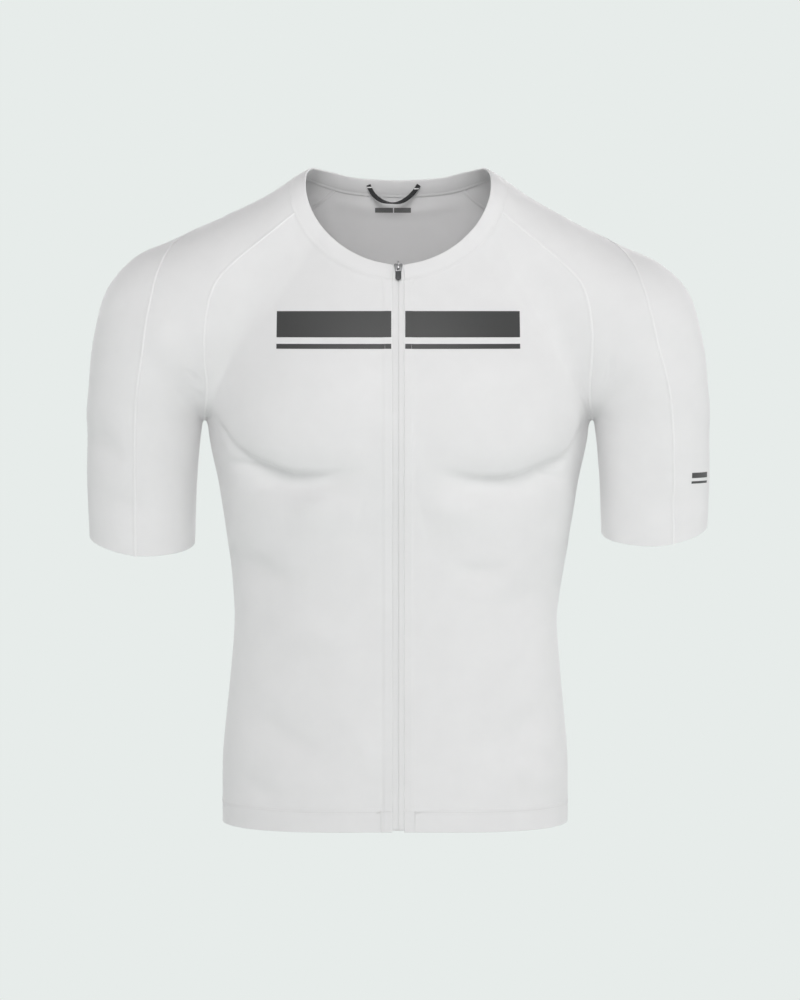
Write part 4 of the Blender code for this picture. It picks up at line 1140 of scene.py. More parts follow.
def grain_material(name, colour, scale, depth, roughness, spread, metallic=0.0, sheen=0.0):
    """A fine-grained surface: moulded, enamelled, printed, woven or spun."""
    material, tree, shader = new_material(name)
    fac = noise_at(tree, scale, GRAIN_DETAIL)
    bumped(tree, shader, fac, depth, GRAIN_STRENGTH)
    mottled(tree, shader, colour, fac, spread)
    set_inputs(shader, Roughness=roughness, Metallic=metallic, Sheen_Weight=sheen)
    return material


# Knits: colour, wale and course of the loops, and depth. The others: colour, grain, depth, roughness, spread.
KNIT_WHITE = knit_material("knit_white", (0.788, 0.780, 0.784), 0.0009, 0.0011, 0.00006)
BIND_WHITE = knit_material("binding_white", (0.806, 0.798, 0.802), 0.0006, 0.0008, 0.00004, roughness=0.66)
TAPE_WHITE = knit_material("tape_white", (0.788, 0.780, 0.784), 0.0005, 0.0014, 0.00007, roughness=0.78,
                           sheen=0.1)
THREAD_WHITE = grain_material("thread_white", (0.825, 0.817, 0.821), 3000, 0.00004, 0.6, 0.03, sheen=0.2)
# Grey thread for the hem band's ends and bar tacks. It is partly painted shade: darker than the white thread
# so that it stands for the shadow the tacks cast on the band.
THREAD_GREY_PAINTED_SHADE = grain_material("thread_grey_painted_shade", (0.750, 0.745, 0.747), 3000, 0.00004, 0.6, 0.05, sheen=0.2)
NYLON_WHITE = grain_material("nylon_white", (0.790, 0.790, 0.790), 1500, 0.00002, 0.42, 0.03)
ENAMEL = grain_material("enamel_grey", (0.300, 0.300, 0.305), 900, 0.00002, 0.34, 0.10, metallic=0.75)
STEEL = grain_material("steel", (0.340, 0.340, 0.345), 900, 0.00002, 0.42, 0.06, metallic=0.9)
PULL_DARK = grain_material("pull_dark", (0.050, 0.051, 0.054), 1400, 0.00003, 0.50, 0.12)
LOOP_BLACK = grain_material("loop_black", (0.020, 0.020, 0.022), 1600, 0.00008, 0.80, 0.25, sheen=0.3)
PRINT_DARK = grain_material("print_dark", (0.047, 0.047, 0.047), 1200, 0.00003, 0.55, 0.06, sheen=0.15)
PRINT_GREY = grain_material("print_grey", (0.170, 0.170, 0.170), 1200, 0.00003, 0.60, 0.08)

# Cloth pieces

GRIDS = {side: fine_grids(side) for _, side in SIDES}
ARMHOLE_ROWS = len(shares_of(RAGLAN_LENGTH, SEWN, JOINED))


def zip_step(way):
    """How far the cloth rises at a distance from the zip's edge."""
    over = np.clip((TAPE_STEP_AT + TAPE_STEP_SOFT - way) / TAPE_STEP_SOFT, 0, 1)
    return TAPE_STEP * over * over * (3 - 2 * over)


def zip_side(distances):
    """The front's edge is folded over the zip's tape, and the fold ends in a soft step."""
    step = zip_step(distances["start"])
    return step, step


def crowned(distances):
    """The collar's folded band is a little fuller in the middle of its width."""
    height = distances["top"] + distances["bottom"]
    crown = BINDING_CROWN * np.sin(math.pi * distances["top"] / height)
    return crown, crown * 2


def both_halves(part):
    return [(side, GRIDS[side][part]) for _, side in SIDES]


for label, side in SIDES:
    for part, free, sewn, shape in (
        ("front", ("start",), ("top", "end", "bottom"), zip_side),
        ("sleeve_front", ("bottom",), ("top", "start", "end"), None),
        ("sleeve_back", ("bottom",), ("top", "start", "end"), None),
    ):
        cloth(part + "_" + label, [(side, GRIDS[side][part])], KNIT_WHITE, free, sewn, shape=shape)
cloth("back", both_halves("back"), KNIT_WHITE, ("end",), ("top", "start", "bottom"), rounded=())
cloth("collar", both_halves("collar"), BIND_WHITE, ("top", "start", "end"), ("bottom",), BINDING, crowned,
      "white_binding")
cloth("hem_band", both_halves("hem"), KNIT_WHITE, ("bottom", "start", "end"), ("top",), BAND, zip_side)

# Seams: a low ridge of thread over the gap between two pieces, with stitches across it

RIDGE_WIDTH = 0.0021
RIDGE_HEIGHT = 0.00024
RIDGE_PROFILE = ((-0.5, -0.6), (-0.46, 0.3), (-0.25, 0.85), (0.0, 1.0), (0.25, 0.85), (0.46, 0.3),
                 (0.5, -0.6))
STITCH_PITCH = 0.0015
STITCH_RADIUS = 0.00014
STITCH_START = 0.75
STITCH_SHARES = (0.0, 0.22, 0.78, 1.0)
STITCH_TAPER = (0.55, 1.0, 1.0, 0.55)
STITCH_SPAN = 0.94
THREAD_SIDES = 5
# How high the stitches across a seam and the dashes beside one start, and the dashes' hump
STITCH_BASE = SEAM_RISE + STITCH_RADIUS * 0.3
DASH_BASE = SEAM_RISE * 0.3
DASH_HUMP = STITCH_RADIUS * 0.8
HEM_STITCH = 0.0026
HEM_STITCH_LONG = 0.0020
HEM_STITCH_ROWS = (0.0022, -0.0022)
COLLAR_STITCH_ROW = 0.0021
# The lower ridges over the hem's and the collar's seams, and the wider ones inside the cloth, as shares of
# RIDGE_WIDTH, SEAM_RISE or KNIT, and RIDGE_HEIGHT
HEM_RIDGE = (0.6, 0.6, 0.5)
COLLAR_RIDGE = (0.6, 0.6, 0.6)
INNER_RIDGE = (1.6, 1.1, 0.35)
COLLAR_INNER_RIDGE = (1.9, 1.6, 0.6)
RIDGE_SHARP = 60
THREAD_SHARP = 70


def line_frames(line, spacing=0.0016):
    """Evenly spaced points on the creased cloth along a line in the world, which may cross the middle, with
    outward and lengthwise directions."""
    _, length = arc_fractions(line)
    line = sample(line, np.linspace(0, 1, round(length / spacing) + 1))
    half = np.concatenate([np.abs(line[:, :1]), line[:, 1:]], axis=1)
    out = np.where(line[:, :1] < 0, to_world(outward(half, -1)[0], -1), outward(half, 1)[0])
    line = line - out * crease_gap(line)[:, None]
    return line, out, tangents(line)


def tube_mesh(name, points, sharp):
    """Closed tubes as one mesh. points is tubes x rings x points of a ring x 3."""
    tubes, count, width = points.shape[:3]
    i, j = np.meshgrid(np.arange(count - 1), np.arange(width), indexing="ij")
    after = (j + 1) % width
    low, high = i * width, (i + 1) * width
    quads = np.stack([low + j, low + after, high + after, high + j], axis=-1)
    first = np.arange(tubes)[:, None, None] * count * width
    ring = np.arange(width)
    faces = (first + quads.reshape(-1, 4)).reshape(-1, 4).tolist()
    faces += (first[:, 0] + ring[::-1]).tolist() + (first[:, 0] + (count - 1) * width + ring).tolist()
    mesh = bpy.data.meshes.new(name)
    mesh.from_pydata(points.reshape(-1, 3).tolist(), [], faces)
    mesh.shade_smooth()
    mesh.set_sharp_from_angle(angle=math.radians(sharp))
    return mesh


def strip_mesh(line, out, flow, width, base, height):
    """A closed strip over a line, in the ridge's profile."""
    across = unit(np.cross(flow, out))
    points = [line + across * a * width + out * (base + h * height) for a, h in RIDGE_PROFILE]
    return tube_mesh("strip", np.stack(points, axis=1)[None], RIDGE_SHARP)


def thread_mesh(paths, out, radius=STITCH_RADIUS):
    """Many short threads as one mesh. paths is threads x points x 3, and out the outward direction of each
    thread."""
    flow = unit(paths[:, -1] - paths[:, 0])
    across = unit(np.cross(flow, out))
    turn = np.arange(THREAD_SIDES) * 2 * math.pi / THREAD_SIDES
    ring = across[:, None] * np.cos(turn)[:, None] + out[:, None] * np.sin(turn)[:, None]
    shares = np.linspace(0, 1, paths.shape[1])
    taper = np.interp(shares, np.linspace(0, 1, len(STITCH_TAPER)), STITCH_TAPER)
    points = paths[:, :, None] + ring[:, None] * (taper * radius)[None, :, None, None]
    return tube_mesh("threads", points, THREAD_SHARP)


def joined_mesh(name, meshes):
    model = bmesh.new()
    for mesh in meshes:
        model.from_mesh(mesh)
        bpy.data.meshes.remove(mesh)
    made = mesh_of(model, name)
    made.shade_smooth()
    made.set_sharp_from_angle(angle=math.radians(RIDGE_SHARP))
    return made


def add_joined(name, meshes, material, slot="white_knit", frame=None, **said):
    """A piece from several meshes, moved to a frame where there is one."""
    mesh = joined_mesh(name, meshes)
    if frame is not None:
        mesh.transform(frame)
    add_piece(name, mesh, material, slot=slot, **said)


def stitches(line, out, flow, pitch, aside, wide, long, base, hump):
    """Threads at even steps along a line. Each starts and ends aside from it, spans wide and long, and lies
    base above it, with a hump in its middle."""
    fractions, length = arc_fractions(line)
    at = (np.arange(max(1, int(length / pitch) - 1)) + STITCH_START) * pitch / length
    centre, up, run = sample(line, at), sample_rows(out, fractions, at), sample_rows(flow, fractions, at)
    across = unit(np.cross(run, up))
    paths = []
    for share in STITCH_SHARES:
        rise = base + hump * (1 - (2 * share - 1) ** 2)
        part = share - 0.5
        paths.append(centre + across * (aside + part * wide) + run * part * long + up * rise)
    return thread_mesh(np.stack(paths, axis=1), up)


def dashes(frames, aside):
    """A row of cover stitch beside a line."""
    return stitches(*frames, HEM_STITCH, aside, 0.0, HEM_STITCH_LONG, DASH_BASE, DASH_HUMP)


def add_seam(name, points, side, width=RIDGE_WIDTH, inside=True, thread=THREAD_WHITE):
    frames = line_frames(to_world(points, side))
    parts = [
        strip_mesh(*frames, width, SEAM_RISE, RIDGE_HEIGHT),
        stitches(*frames, STITCH_PITCH, 0.0, width * STITCH_SPAN, STITCH_PITCH, STITCH_BASE, RIDGE_HEIGHT),
    ]
    if inside:
        wider, depth, height = INNER_RIDGE
        parts.append(strip_mesh(*frames, width * wider, -KNIT * depth - SEAM_RISE, -RIDGE_HEIGHT * height))
    add_joined(name, parts, thread)


for label, side in SIDES:
    front, back = GRIDS[side]["sleeve_front"], GRIDS[side]["sleeve_back"]
    add_seam("seam_armhole_front_" + label, front[:ARMHOLE_ROWS, 0], side, inside=False)
    add_seam("seam_armhole_back_" + label, back[:ARMHOLE_ROWS, 0], side)
    add_seam("seam_side_" + label, GRIDS[side]["back"][ARMHOLE_ROWS - 1:, 0], side)
    add_seam("seam_underarm_" + label, front[ARMHOLE_ROWS - 1:-2, 0], side)
    add_seam("seam_overarm_" + label, front[:-2, -1], side)


def spots_towards(x, z, towards, side):
    """Places on the front, where towards is -1, or on the back, where it is 1."""
    zero = np.zeros_like(x)
    start = np.stack([x, zero, z], axis=-1)
    return cast(start, np.broadcast_to(np.array([0.0, towards, 0.0]), start.shape), side)


def on_cloth(spots, side, lift, over_zip=False):
    """Places at spots on one side, lifted off the creased cloth, and the outward directions there."""
    guide = to_world(outward(spots, side)[0], side)
    world = to_world(spots, side)
    rise = zip_step(np.abs(world[..., 0]) - ZIP_OPENING / 2) if over_zip else 0.0
    return world + guide * (lift + rise - crease_gap(world))[..., None], guide


# Hem: the band's ends beside the zip, bar tacks, and two rows of cover stitch over its seam
HEM_END_X = 0.0165
HEM_END_WIDTH = RIDGE_WIDTH * 0.5
TACK_LONG = 0.0040
TACK_DROP = 0.001
TACK_ROWS = 5
TACK_POINTS = 4
TACK_ROW_GAP = 0.00028
for label, side in SIDES:
    band = GRIDS[side]["hem"]
    column = np.argmin(np.abs(band[0, :len(band[0]) // 2, 0] - HEM_END_X))
    end = band[:-2, column]
    # The ends' ridges and the tacks use the darker grey thread, which is partly painted shade for the tacks'
    # shadow.
    add_seam("seam_hem_end_" + label, end, side, HEM_END_WIDTH, inside=False, thread=THREAD_GREY_PAINTED_SHADE)
    x, z = np.meshgrid(HEM_END_X + np.linspace(0, TACK_LONG, TACK_POINTS),
                       HEM_HEIGHT + HEM_BAND - TACK_DROP - TACK_ROW_GAP * np.arange(TACK_ROWS))
    rows, guide = on_cloth(spots_towards(x, z, -1.0, side), side, SEAM_RISE + STITCH_RADIUS)
    add_piece("hem_tack_" + label, thread_mesh(rows, guide[:, 1]), THREAD_GREY_PAINTED_SHADE, slot="white_knit")


def whole_row(part, row):
    """One row of a band's grid, from the right end to the left end, in the world."""
    return join_halves([to_world(GRIDS[side][part][row][None], side) for _, side in SIDES])[0]


def low_ridge(frames, shares):
    wide, base, height = shares
    return strip_mesh(*frames, RIDGE_WIDTH * wide, SEAM_RISE * base, RIDGE_HEIGHT * height)


frames = line_frames(whole_row("hem", 0))
add_joined("seam_hem", [low_ridge(frames, HEM_RIDGE)] + [dashes(frames, row) for row in HEM_STITCH_ROWS],
           THREAD_WHITE)
frames = line_frames(whole_row("collar", -1))
wider, depth, height = COLLAR_INNER_RIDGE
inner = strip_mesh(*frames, RIDGE_WIDTH * wider, -KNIT * depth - SEAM_RISE, -RIDGE_HEIGHT * height)
collar_parts = [low_ridge(frames, COLLAR_RIDGE), inner, dashes(frames, COLLAR_STITCH_ROW)]
add_joined("seam_collar", collar_parts, THREAD_WHITE)

# Zip: two tapes whose inner edges roll over the coil and meet in a fine line, and the coil behind them

TAPE_SECTION = ((0.00003, -0.00120), (0.00003, -0.00024), (0.00012, -0.00004), (0.00060, 0.00012),
                (0.00140, 0.00022), (0.00240, 0.00022), (0.00290, 0.00012), (0.00340, 0.00016),
                (0.00450, 0.00014), (0.00520, -0.00010), (0.00580, -0.00062), (0.00660, -0.00080),
                (0.01000, -0.00080), (0.01450, -0.00080))
TAPE_THICK = 0.0005
TAPE_SHORT = 0.0016
# How the inner face lies at the section's first points, where the edge rolls in: aside and inward, as
# shares of the tape's thickness
TAPE_ROLL = ((0.8, 0.0), (0.8, 0.0), (0.7, 0.5))
COIL_PITCH = 0.0013
COIL_START = 0.7
COIL_RADIUS = 0.00042
COIL_DEPTH = 0.00145
COIL_REACH = (0.0002, 0.0023)
COIL_LIFT = (0.0002, -0.0002)
COIL_POINTS = 4
COIL_SHIFT = COIL_PITCH / 4


def zip_frames(grids, side, spacing=0.003):
    """The zip's edge in the half frame, with outward directions and those away from the zip."""
    edge = zip_edges(grids)[:, :2]
    normals = outward(edge, side)[0][:, 0]
    fractions, length = arc_fractions(edge[:, 0])
    at = np.linspace(0.0, 1 - TAPE_SHORT / length, round(length / spacing))
    middle = sample(edge[:, 0], at)
    out = unit(sample_rows(normals, fractions, at))
    across = unit(np.cross(out, tangents(middle)))
    return middle, out, across * np.sign(across[:, :1])


def zip_tape(label, side):
    middle, out, across = zip_frames(GRIDS[side], side)
    top = np.stack([middle + across * (x - ZIP_OPENING / 2) + out * h for x, h in TAPE_SECTION], axis=1)
    guide = to_world(np.broadcast_to(out[:, None], top.shape), side)
    world = to_world(top, side) - guide * crease_gap(to_world(middle, side))[:, None, None]
    inner = world - guide * TAPE_THICK
    for k, (aside, inward) in enumerate(TAPE_ROLL):
        inner[:, k] = world[:, k] + (to_world(across, side) * aside - guide[:, k] * inward) * TAPE_THICK
    name = "zip_tape_" + label
    mesh = shell_mesh(name, world, inner, (along(world), down(world)))
    add_piece(name + "_cloth", mesh, TAPE_WHITE, slot="white_tape", replaces=(name,))


for label, side in SIDES:
    zip_tape(label, side)

line, normal = zip_rows(GRIDS[1])
NECK_TOP = GRIDS[1]["collar"][0, 0, 2]
SLIDER_FRAME = slider_frame(line, normal, NECK_TOP)
fractions, length = arc_fractions(line)
start = np.interp(-(NECK_TOP - SLIDER_DROP - SLIDER_LENGTH / 2), -line[:, 2], fractions)
teeth = int((1 - start) * length / COIL_PITCH) - 1
at = start + (np.arange(teeth) + COIL_START) * COIL_PITCH / length
out = sample_rows(normal, fractions, at)
centre = sample(line, at) - out * COIL_DEPTH
run = tangents(centre)
coil = []
for side in (-1, 1):
    paths = [centre + run * side * COIL_SHIFT + np.array([side, 0, 0]) * x + out * lift
             for x, lift in zip(np.linspace(*COIL_REACH, COIL_POINTS), np.linspace(*COIL_LIFT, COIL_POINTS))]
    coil.append(thread_mesh(np.stack(paths, axis=1), out, COIL_RADIUS))
add_joined("zip_teeth", coil, NYLON_WHITE, "white_nylon", replaces=("zip_coil",))

# Slider and pull, in the slider's frame: x across, y into the cloth, z up along the zip

PIVOT = Vector((0, -SLIDER_PROUD - PIN_RADIUS - PIN_CLEAR, PIN_UP))
BEVEL_SHAPE = 0.6


def softened(model, bevel, angle=30, segments=2):
    """A mesh from a bmesh, with its sharper edges rounded."""
    bmesh.ops.recalc_face_normals(model, faces=model.faces)
    model.edges.ensure_lookup_table()
    least = math.radians(angle)
    sharp = [edge for edge in model.edges if edge.is_manifold and edge.calc_face_angle(0) > least]
    bmesh.ops.bevel(model, geom=sharp, offset=bevel, segments=segments, profile=BEVEL_SHAPE, affect="EDGES")
    return mesh_of(model, "softened")


def plate(outline, low, high, bevel, plane="xz"):
    """A plate from an outline in two axes, from low to high along the third one."""
    model = bmesh.new()
    if plane == "xz":
        verts = [model.verts.new((a, low, b)) for a, b in outline]
        move = (0, high - low, 0)
    else:
        verts = [model.verts.new((low, a, b)) for a, b in outline]
        move = (high - low, 0, 0)
    face = model.faces.new(verts)
    made = bmesh.ops.extrude_face_region(model, geom=[face])["geom"]
    moved = [part for part in made if isinstance(part, bmesh.types.BMVert)]
    bmesh.ops.translate(model, verts=moved, vec=move)
    return softened(model, bevel)


def mirrored(half):
    """A half outline and its mirror image."""
    return list(half) + [(-x, z) for x, z in reversed(half)]


def on_both_sides(half, low, high, bevel):
    return [plate([(side * x, z) for x, z in half], low, high, bevel) for side in (-1, 1)]


def box_outline(half_width, top, bottom):
    return ((-half_width, top), (half_width, top), (half_width, bottom), (-half_width, bottom))


SLIDER_PLATE = mirrored(((0.0012, 0.0046), (0.0030, 0.0048), (0.0039, 0.0042), (0.0040, 0.0030),
                       (0.0034, 0.0006), (0.0030, -0.0030), (0.0026, -0.0042)))
SLIDER_CORE = mirrored(((0.0005, 0.0034), (0.0012, 0.0012), (0.0010, 0.0006)))
BRIDGE_OUTER = ((-0.0014, 0.0040), (-0.0030, 0.0038), (-0.0042, 0.0030), (-0.0047, 0.0016),
                (-0.0047, -0.0002), (-0.0042, -0.0013), (-0.0032, -0.0017), (-0.0014, -0.0018))
BRIDGE_INNER = ((-0.0014, -0.0008), (-0.0030, -0.0007), (-0.0037, -0.0002), (-0.0038, 0.0014),
                (-0.0034, 0.0022), (-0.0026, 0.0026), (-0.0014, 0.0027))
NUB = ((-0.0008, 0.0040), (0.0008, 0.0040), (0.0006, 0.0072), (-0.0006, 0.0072))
FLANGE = ((0.0036, 0.0040), (0.0040, 0.0034), (0.0031, -0.0026), (0.0027, -0.0024))
# Outline, where the plate starts and ends along the third axis, bevel and plane
SLIDER_PARTS = (
    (SLIDER_PLATE, -0.0016, -0.0004, 0.0003),
    (SLIDER_PLATE, 0.0010, 0.0020, 0.0003),
    (SLIDER_CORE, -0.0008, 0.0014, 0.0001),
    (BRIDGE_OUTER + BRIDGE_INNER, -0.0010, 0.0010, 0.00022, "yz"),
    (NUB, -0.0022, -0.0010, 0.00025),
)
slider_parts = [plate(*part) for part in SLIDER_PARTS] + on_both_sides(FLANGE, -0.0021, -0.0012, 0.00018)
add_joined("zip_slider_detail", slider_parts, ENAMEL, "grey_enamel", SLIDER_FRAME, replaces=("zip_slider",))

# The rubber tab, with a shoulder at its top, a round end and four grip bars
PULL_FRAME = SLIDER_FRAME @ Matrix.Translation(PIVOT)
PULL_HALF = PULL_WIDTH / 2
TAB_TOP = (PULL_HALF * 0.80, -0.0036)
TAB_SHOULDER = (PULL_HALF * 0.98, -0.0044)
TAB_BEVEL = 0.00035
TAB_ROUND_STEP = 15
GRIP_BARS = 4
GRIP_TOP = -0.0060
GRIP_PITCH = 0.0013
GRIP_HALF = 0.0015
GRIP_HEIGHT = 0.0006
GRIP_PROUD = 0.00018
GRIP_SUNK = 0.0003
GRIP_BEVEL = 0.00012
tab_outline = [TAB_TOP, (-TAB_TOP[0], TAB_TOP[1]), (-TAB_SHOULDER[0], TAB_SHOULDER[1])]
for turn in range(0, 181, TAB_ROUND_STEP):
    across, along_tab = math.cos(math.radians(turn)), math.sin(math.radians(turn))
    tab_outline.append((-PULL_HALF * across, -PULL_LENGTH + PULL_HALF - PULL_HALF * along_tab))
tab_outline.append(TAB_SHOULDER)
tab_face = -PULL_THICK / 2
tab_parts = [plate(tab_outline, tab_face, -tab_face, TAB_BEVEL)]
for k in range(GRIP_BARS):
    z = GRIP_TOP - GRIP_PITCH * k
    tab_parts.append(plate(box_outline(GRIP_HALF, z, z - GRIP_HEIGHT), tab_face - GRIP_PROUD,
                           tab_face + GRIP_SUNK, GRIP_BEVEL))
add_joined("pull_tab_rubber", tab_parts, PULL_DARK, "dark_pull", PULL_FRAME, body=PULL_BODY,
           replaces=("zip_pull",))

# The metal clip: two arms, a bar at the tab's top, and the pin through the bridge
CLIP_ARM = ((0.0013, 0.0007), (0.0024, 0.0007), (0.0022, -0.0042), (0.0013, -0.0042))
CLIP_ARM_HALF = 0.00045
CLIP_BAR = ((-0.0020, -0.0034), (0.0020, -0.0034), (0.0021, -0.0042), (-0.0021, -0.0042))
CLIP_BAR_HALF = 0.0008
CLIP_BEVEL = 0.0002
CLIP_PIN_RADIUS = 0.0006
CLIP_PIN_LENGTH = 0.0040
PIN_BEVEL = 0.0001
PIN_SEGMENTS = 16
PIN_SHARP = 60
pin = bmesh.new()
bmesh.ops.create_cone(pin, cap_ends=True, segments=PIN_SEGMENTS, radius1=CLIP_PIN_RADIUS,
                      radius2=CLIP_PIN_RADIUS, depth=CLIP_PIN_LENGTH,
                      matrix=Matrix.Rotation(math.pi / 2, 4, "Y"))
clip_parts = on_both_sides(CLIP_ARM, -CLIP_ARM_HALF, CLIP_ARM_HALF, CLIP_BEVEL)
clip_parts.append(plate(CLIP_BAR, -CLIP_BAR_HALF, CLIP_BAR_HALF, CLIP_BEVEL))
clip_parts.append(softened(pin, PIN_BEVEL, PIN_SHARP))
add_joined("pull_clip", clip_parts, STEEL, "grey_enamel", PULL_FRAME, body=PULL_BODY)

# Hanger loop: a flat woven tape that turns over once at its lowest point. LOOP_BEND is the solid's line, a
# little rounder, as x and z.

LOOP_BEND = ((-0.0288, -0.0144), (-0.0268, -0.0190), (-0.0228, -0.0248), (-0.0160, -0.0298),
             (-0.0075, -0.0318), (0.0010, -0.0313), (0.0088, -0.0272), (0.0152, -0.0210), (0.0198, -0.0144))
LOOP_COUNT = 73
LOOP_SECTION = 10
LOOP_TURN = math.radians(70)
LOOP_TURN_AT = 0.52
LOOP_TURN_SPAN = 0.16
LOOP_CLEAR = 0.0004
# How square the section is across and out, and how much of the width and thickness it fills
LOOP_SQUARE = (0.35, 0.7)
LOOP_FULL = (0.94, 0.9)
# Which of the line's points the two tacks lie at
LOOP_TACKS = (5, -6)
TACK_SIZE = (0.0046, 0.0011)
TACK_PROUD = 0.0003
TACK_BEVEL = 0.00015
TACK_CORNERS = ((-1, -1), (1, -1), (1, 1), (-1, 1))


def loop_mesh():
    _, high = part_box("hanger_loop")
    wall = high.y
    line = curve_points(LOOP_BEND, LOOP_COUNT)
    turn = LOOP_TURN * np.exp(-((np.linspace(0, 1, LOOP_COUNT) - LOOP_TURN_AT) / LOOP_TURN_SPAN) ** 2)
    away = LOOP_CLEAR + LOOP_WIDTH / 2 * np.sin(turn) + LOOP_THICK / 2
    middle = np.stack([line[:, 0], wall - away, line[:, 1]], axis=-1)
    flow = tangents(middle)
    width = unit(np.cross(flow, np.array([0.0, -1.0, 0.0])))
    thick = np.cross(width, flow)
    turned = width * np.cos(turn)[:, None] + thick * np.sin(turn)[:, None]
    upright = thick * np.cos(turn)[:, None] - width * np.sin(turn)[:, None]
    rings = []
    for k in range(LOOP_SECTION):
        angle = k * 2 * math.pi / LOOP_SECTION
        c, s = math.cos(angle), math.sin(angle)
        a = math.copysign(abs(c) ** LOOP_SQUARE[0], c) * LOOP_WIDTH / 2 * LOOP_FULL[0]
        b = math.copysign(abs(s) ** LOOP_SQUARE[1], s) * LOOP_THICK / 2 * LOOP_FULL[1]
        rings.append(middle + turned * a + upright * b)
    return tube_mesh("loop", np.stack(rings, axis=1)[None], RIDGE_SHARP), middle


loop, loop_middle = loop_mesh()
add_piece("hanger_loop_tape", loop, LOOP_BLACK, slot="black_tape", replaces=("hanger_loop",))
tacks = []
for x, y, z in (loop_middle[k] for k in LOOP_TACKS):
    outline = [(x + a * TACK_SIZE[0] / 2, z + b * TACK_SIZE[1] / 2) for a, b in TACK_CORNERS]
    tacks.append(plate(outline, y - LOOP_THICK / 2 - TACK_PROUD, y, TACK_BEVEL))
add_joined("loop_tacks", tacks, THREAD_WHITE)

# Prints: plain bars across the chest, two short stripes on the left sleeve, and two plain care panels inside
# the back. Each lies on the cloth.

PRINT_CELL = 0.0022
PRINT_LIFT = 0.00012
PRINT_THICK = 0.00008
CHEST_BARS = ((0.0064, 0.112, -0.136, -0.160), (0.0064, 0.112, -0.166, -0.1705))
CARE_PANELS = ((-0.0227, -0.0052, -0.0352, -0.0398), (-0.0042, 0.0123, -0.0352, -0.0398))
SLEEVE_STRIPES = ((-0.287, -0.292), (-0.295, -0.2972))
SLEEVE_STRIPE_TURNS = (math.radians(28), math.radians(56))
SLEEVE_STRIPE_CELLS = 14
SLEEVE_STRIPE_ROWS = 4


def rectangle(x0, x1, z0, z1):
    columns = max(3, round((x1 - x0) / PRINT_CELL))
    rows = max(3, round(abs(z1 - z0) / PRINT_CELL))
    return np.meshgrid(np.linspace(x0, x1, columns), np.linspace(z0, z1, rows))


def print_mesh(spots, side, lift, over_zip=False):
    """A thin layer on the creased cloth at spots on one side, on its inner face where lift is negative."""
    world, guide = on_cloth(spots, side, lift, over_zip)
    return shell_mesh("print", world, world - guide * PRINT_THICK, (along(world), down(world)))


for label, side in SIDES:
    bars = [print_mesh(spots_towards(*rectangle(*bar), -1.0, side), side, PRINT_LIFT, over_zip=True)
            for bar in CHEST_BARS]
    add_joined("chest_bars_" + label, bars, PRINT_DARK)
panels = [print_mesh(spots_towards(*rectangle(*panel), 1.0, 1), 1, -KNIT - PRINT_LIFT)
          for panel in CARE_PANELS]
add_joined("care_panels", panels, PRINT_GREY)
stripes = []
for z0, z1 in SLEEVE_STRIPES:
    turn, z = np.meshgrid(np.linspace(*SLEEVE_STRIPE_TURNS, SLEEVE_STRIPE_CELLS),
                          np.linspace(z0, z1, SLEEVE_STRIPE_ROWS))
    start = np.stack([np.full_like(z, CUFF_MIDDLE_X), np.zeros_like(z), z], axis=-1)
    ray = np.stack([np.cos(turn), -np.sin(turn), np.zeros_like(z)], axis=-1)
    stripes.append(print_mesh(cast(start, ray, 1), 1, PRINT_LIFT))
add_joined("sleeve_stripes_left", stripes, PRINT_DARK)

# Camera, light and backdrop

TARGET = Vector((0.0016, 0.0, -0.315))
CAMERA_DISTANCE = 3.1
CAMERA_RISE = math.radians(3.24)
CAMERA_LENS = 117.47
CAMERA_SENSOR = 36.0
BACKDROP = (0.799, 0.839, 0.823)
FLOOR_COLOUR = (0.80, 0.82, 0.81)
FLOOR_ROUGHNESS = 0.9
FLOOR_SEGMENTS = 96
FLOOR_HEIGHT = -1.05
FLOOR_RADIUS = 6.0
FLOOR_SHADED = 0.35
FLOOR_PLAIN = 0.95

# Softboxes: name, place, aim, side, power
SOFTBOXES = (
    ("front", (0.00, -2.70, 1.10), (0.0, 0.0, -0.20), 1.4, 50.0),
    ("low", (0.00, -2.80, -0.40), (0.0, 0.0, -0.30), 1.4, 6.0),
    ("fill", (-1.40, -2.10, 1.80), (0.0, 0.0, -0.30), 1.6, 6.0),
    ("side_left", (2.60, -0.60, 0.20), (0.0, 0.0, -0.30), 1.2, 18.0),
    ("side_right", (-2.60, -0.60, 0.20), (0.0, 0.0, -0.30), 1.2, 4.0),
    ("top", (0.00, -0.50, 2.20), (0.0, 0.0, -0.10), 1.0, 9.0),
    ("rim_left", (2.30, 1.10, 0.40), (0.0, 0.0, -0.30), 1.2, 12.0),
    ("rim_right", (-2.30, 1.10, 0.40), (0.0, 0.0, -0.30), 1.2, 11.0),
    ("back_left", (0.90, 2.60, 0.90), (0.0, 0.0, -0.30), 1.4, 29.0),
    ("back_right", (-1.10, 2.60, 0.60), (0.0, 0.0, -0.30), 1.4, 27.0),
)


def pointed(thing, place, direction):
    thing.location = place
    thing.rotation_mode = "QUATERNION"
    thing.rotation_quaternion = direction.to_track_quat("-Z", "Y")


def add_camera():
    data = bpy.data.cameras.new("camera")
    data.sensor_fit = "VERTICAL"
    data.sensor_height = CAMERA_SENSOR
    data.lens = CAMERA_LENS
    camera = add_object("camera", data)
    back = Vector((0.0, -math.cos(CAMERA_RISE), math.sin(CAMERA_RISE)))
    pointed(camera, TARGET + back * CAMERA_DISTANCE, -back)
    bpy.context.scene.camera = camera


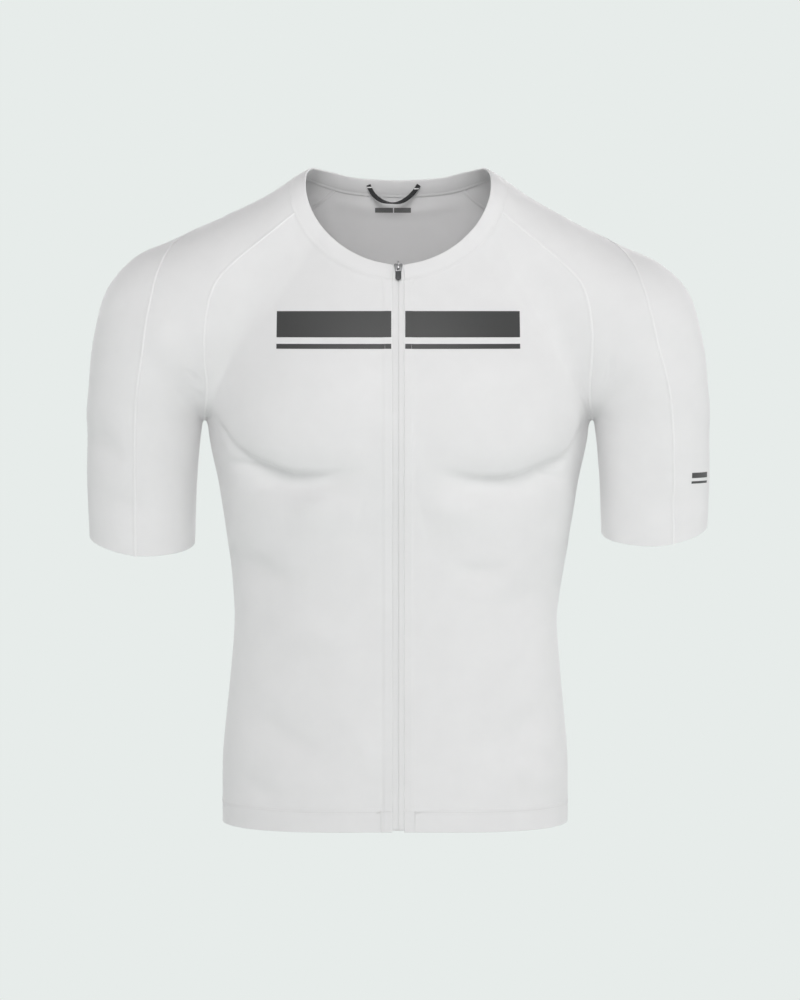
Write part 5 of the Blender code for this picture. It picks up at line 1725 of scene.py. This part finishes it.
def add_softboxes():
    for name, place, aim, size, power in SOFTBOXES:
        data = bpy.data.lights.new(name, "AREA")
        data.size = size
        data.energy = power
        pointed(add_object(name, data), place, Vector(aim) - Vector(place))


def add_world():
    """An even backdrop that the camera sees and that adds no light."""
    world = bpy.data.worlds.new("backdrop")
    world.use_nodes = True
    plain = next(node for node in world.node_tree.nodes if node.type == "BACKGROUND")
    set_inputs(plain, Color=(*BACKDROP, 1.0), Strength=1.0)
    world.cycles_visibility.diffuse = False
    world.cycles_visibility.glossy = False
    bpy.context.scene.world = world


def add_floor():
    """A floor that is lit below the top and turns into the backdrop's colour farther out."""
    model = bmesh.new()
    bmesh.ops.create_circle(model, cap_ends=True, segments=FLOOR_SEGMENTS, radius=FLOOR_RADIUS)
    mesh = mesh_of(model, "floor")
    floor = add_object("floor", mesh)
    floor.location = (0.0, 0.0, FLOOR_HEIGHT)
    material, tree, shader = new_material("floor_pale")
    set_inputs(shader, Base_Color=(*FLOOR_COLOUR, 1.0), Roughness=FLOOR_ROUGHNESS)
    glow = add_node(tree, "ShaderNodeEmission")
    set_inputs(glow, Color=(*BACKDROP, 1.0))
    mix = add_node(tree, "ShaderNodeMixShader")
    spot = add_node(tree, "ShaderNodeTexCoord")
    length = add_node(tree, "ShaderNodeVectorMath", operation="LENGTH")
    ramp = add_node(tree, "ShaderNodeMapRange", interpolation_type="SMOOTHSTEP")
    set_inputs(ramp, From_Min=FLOOR_SHADED, From_Max=FLOOR_PLAIN)
    target = next(node for node in tree.nodes if node.type == "OUTPUT_MATERIAL")
    for source, socket in (
        (spot.outputs["Object"], length.inputs[0]),
        (length.outputs["Value"], ramp.inputs["Value"]),
        (ramp.outputs["Result"], mix.inputs[0]),
        (shader.outputs[0], mix.inputs[1]),
        (glow.outputs[0], mix.inputs[2]),
        (mix.outputs[0], target.inputs["Surface"]),
    ):
        tree.links.new(source, socket)
    mesh.materials.append(material)


add_camera()
add_softboxes()
add_world()
add_floor()
bpy.context.scene.view_settings.view_transform = "Standard"
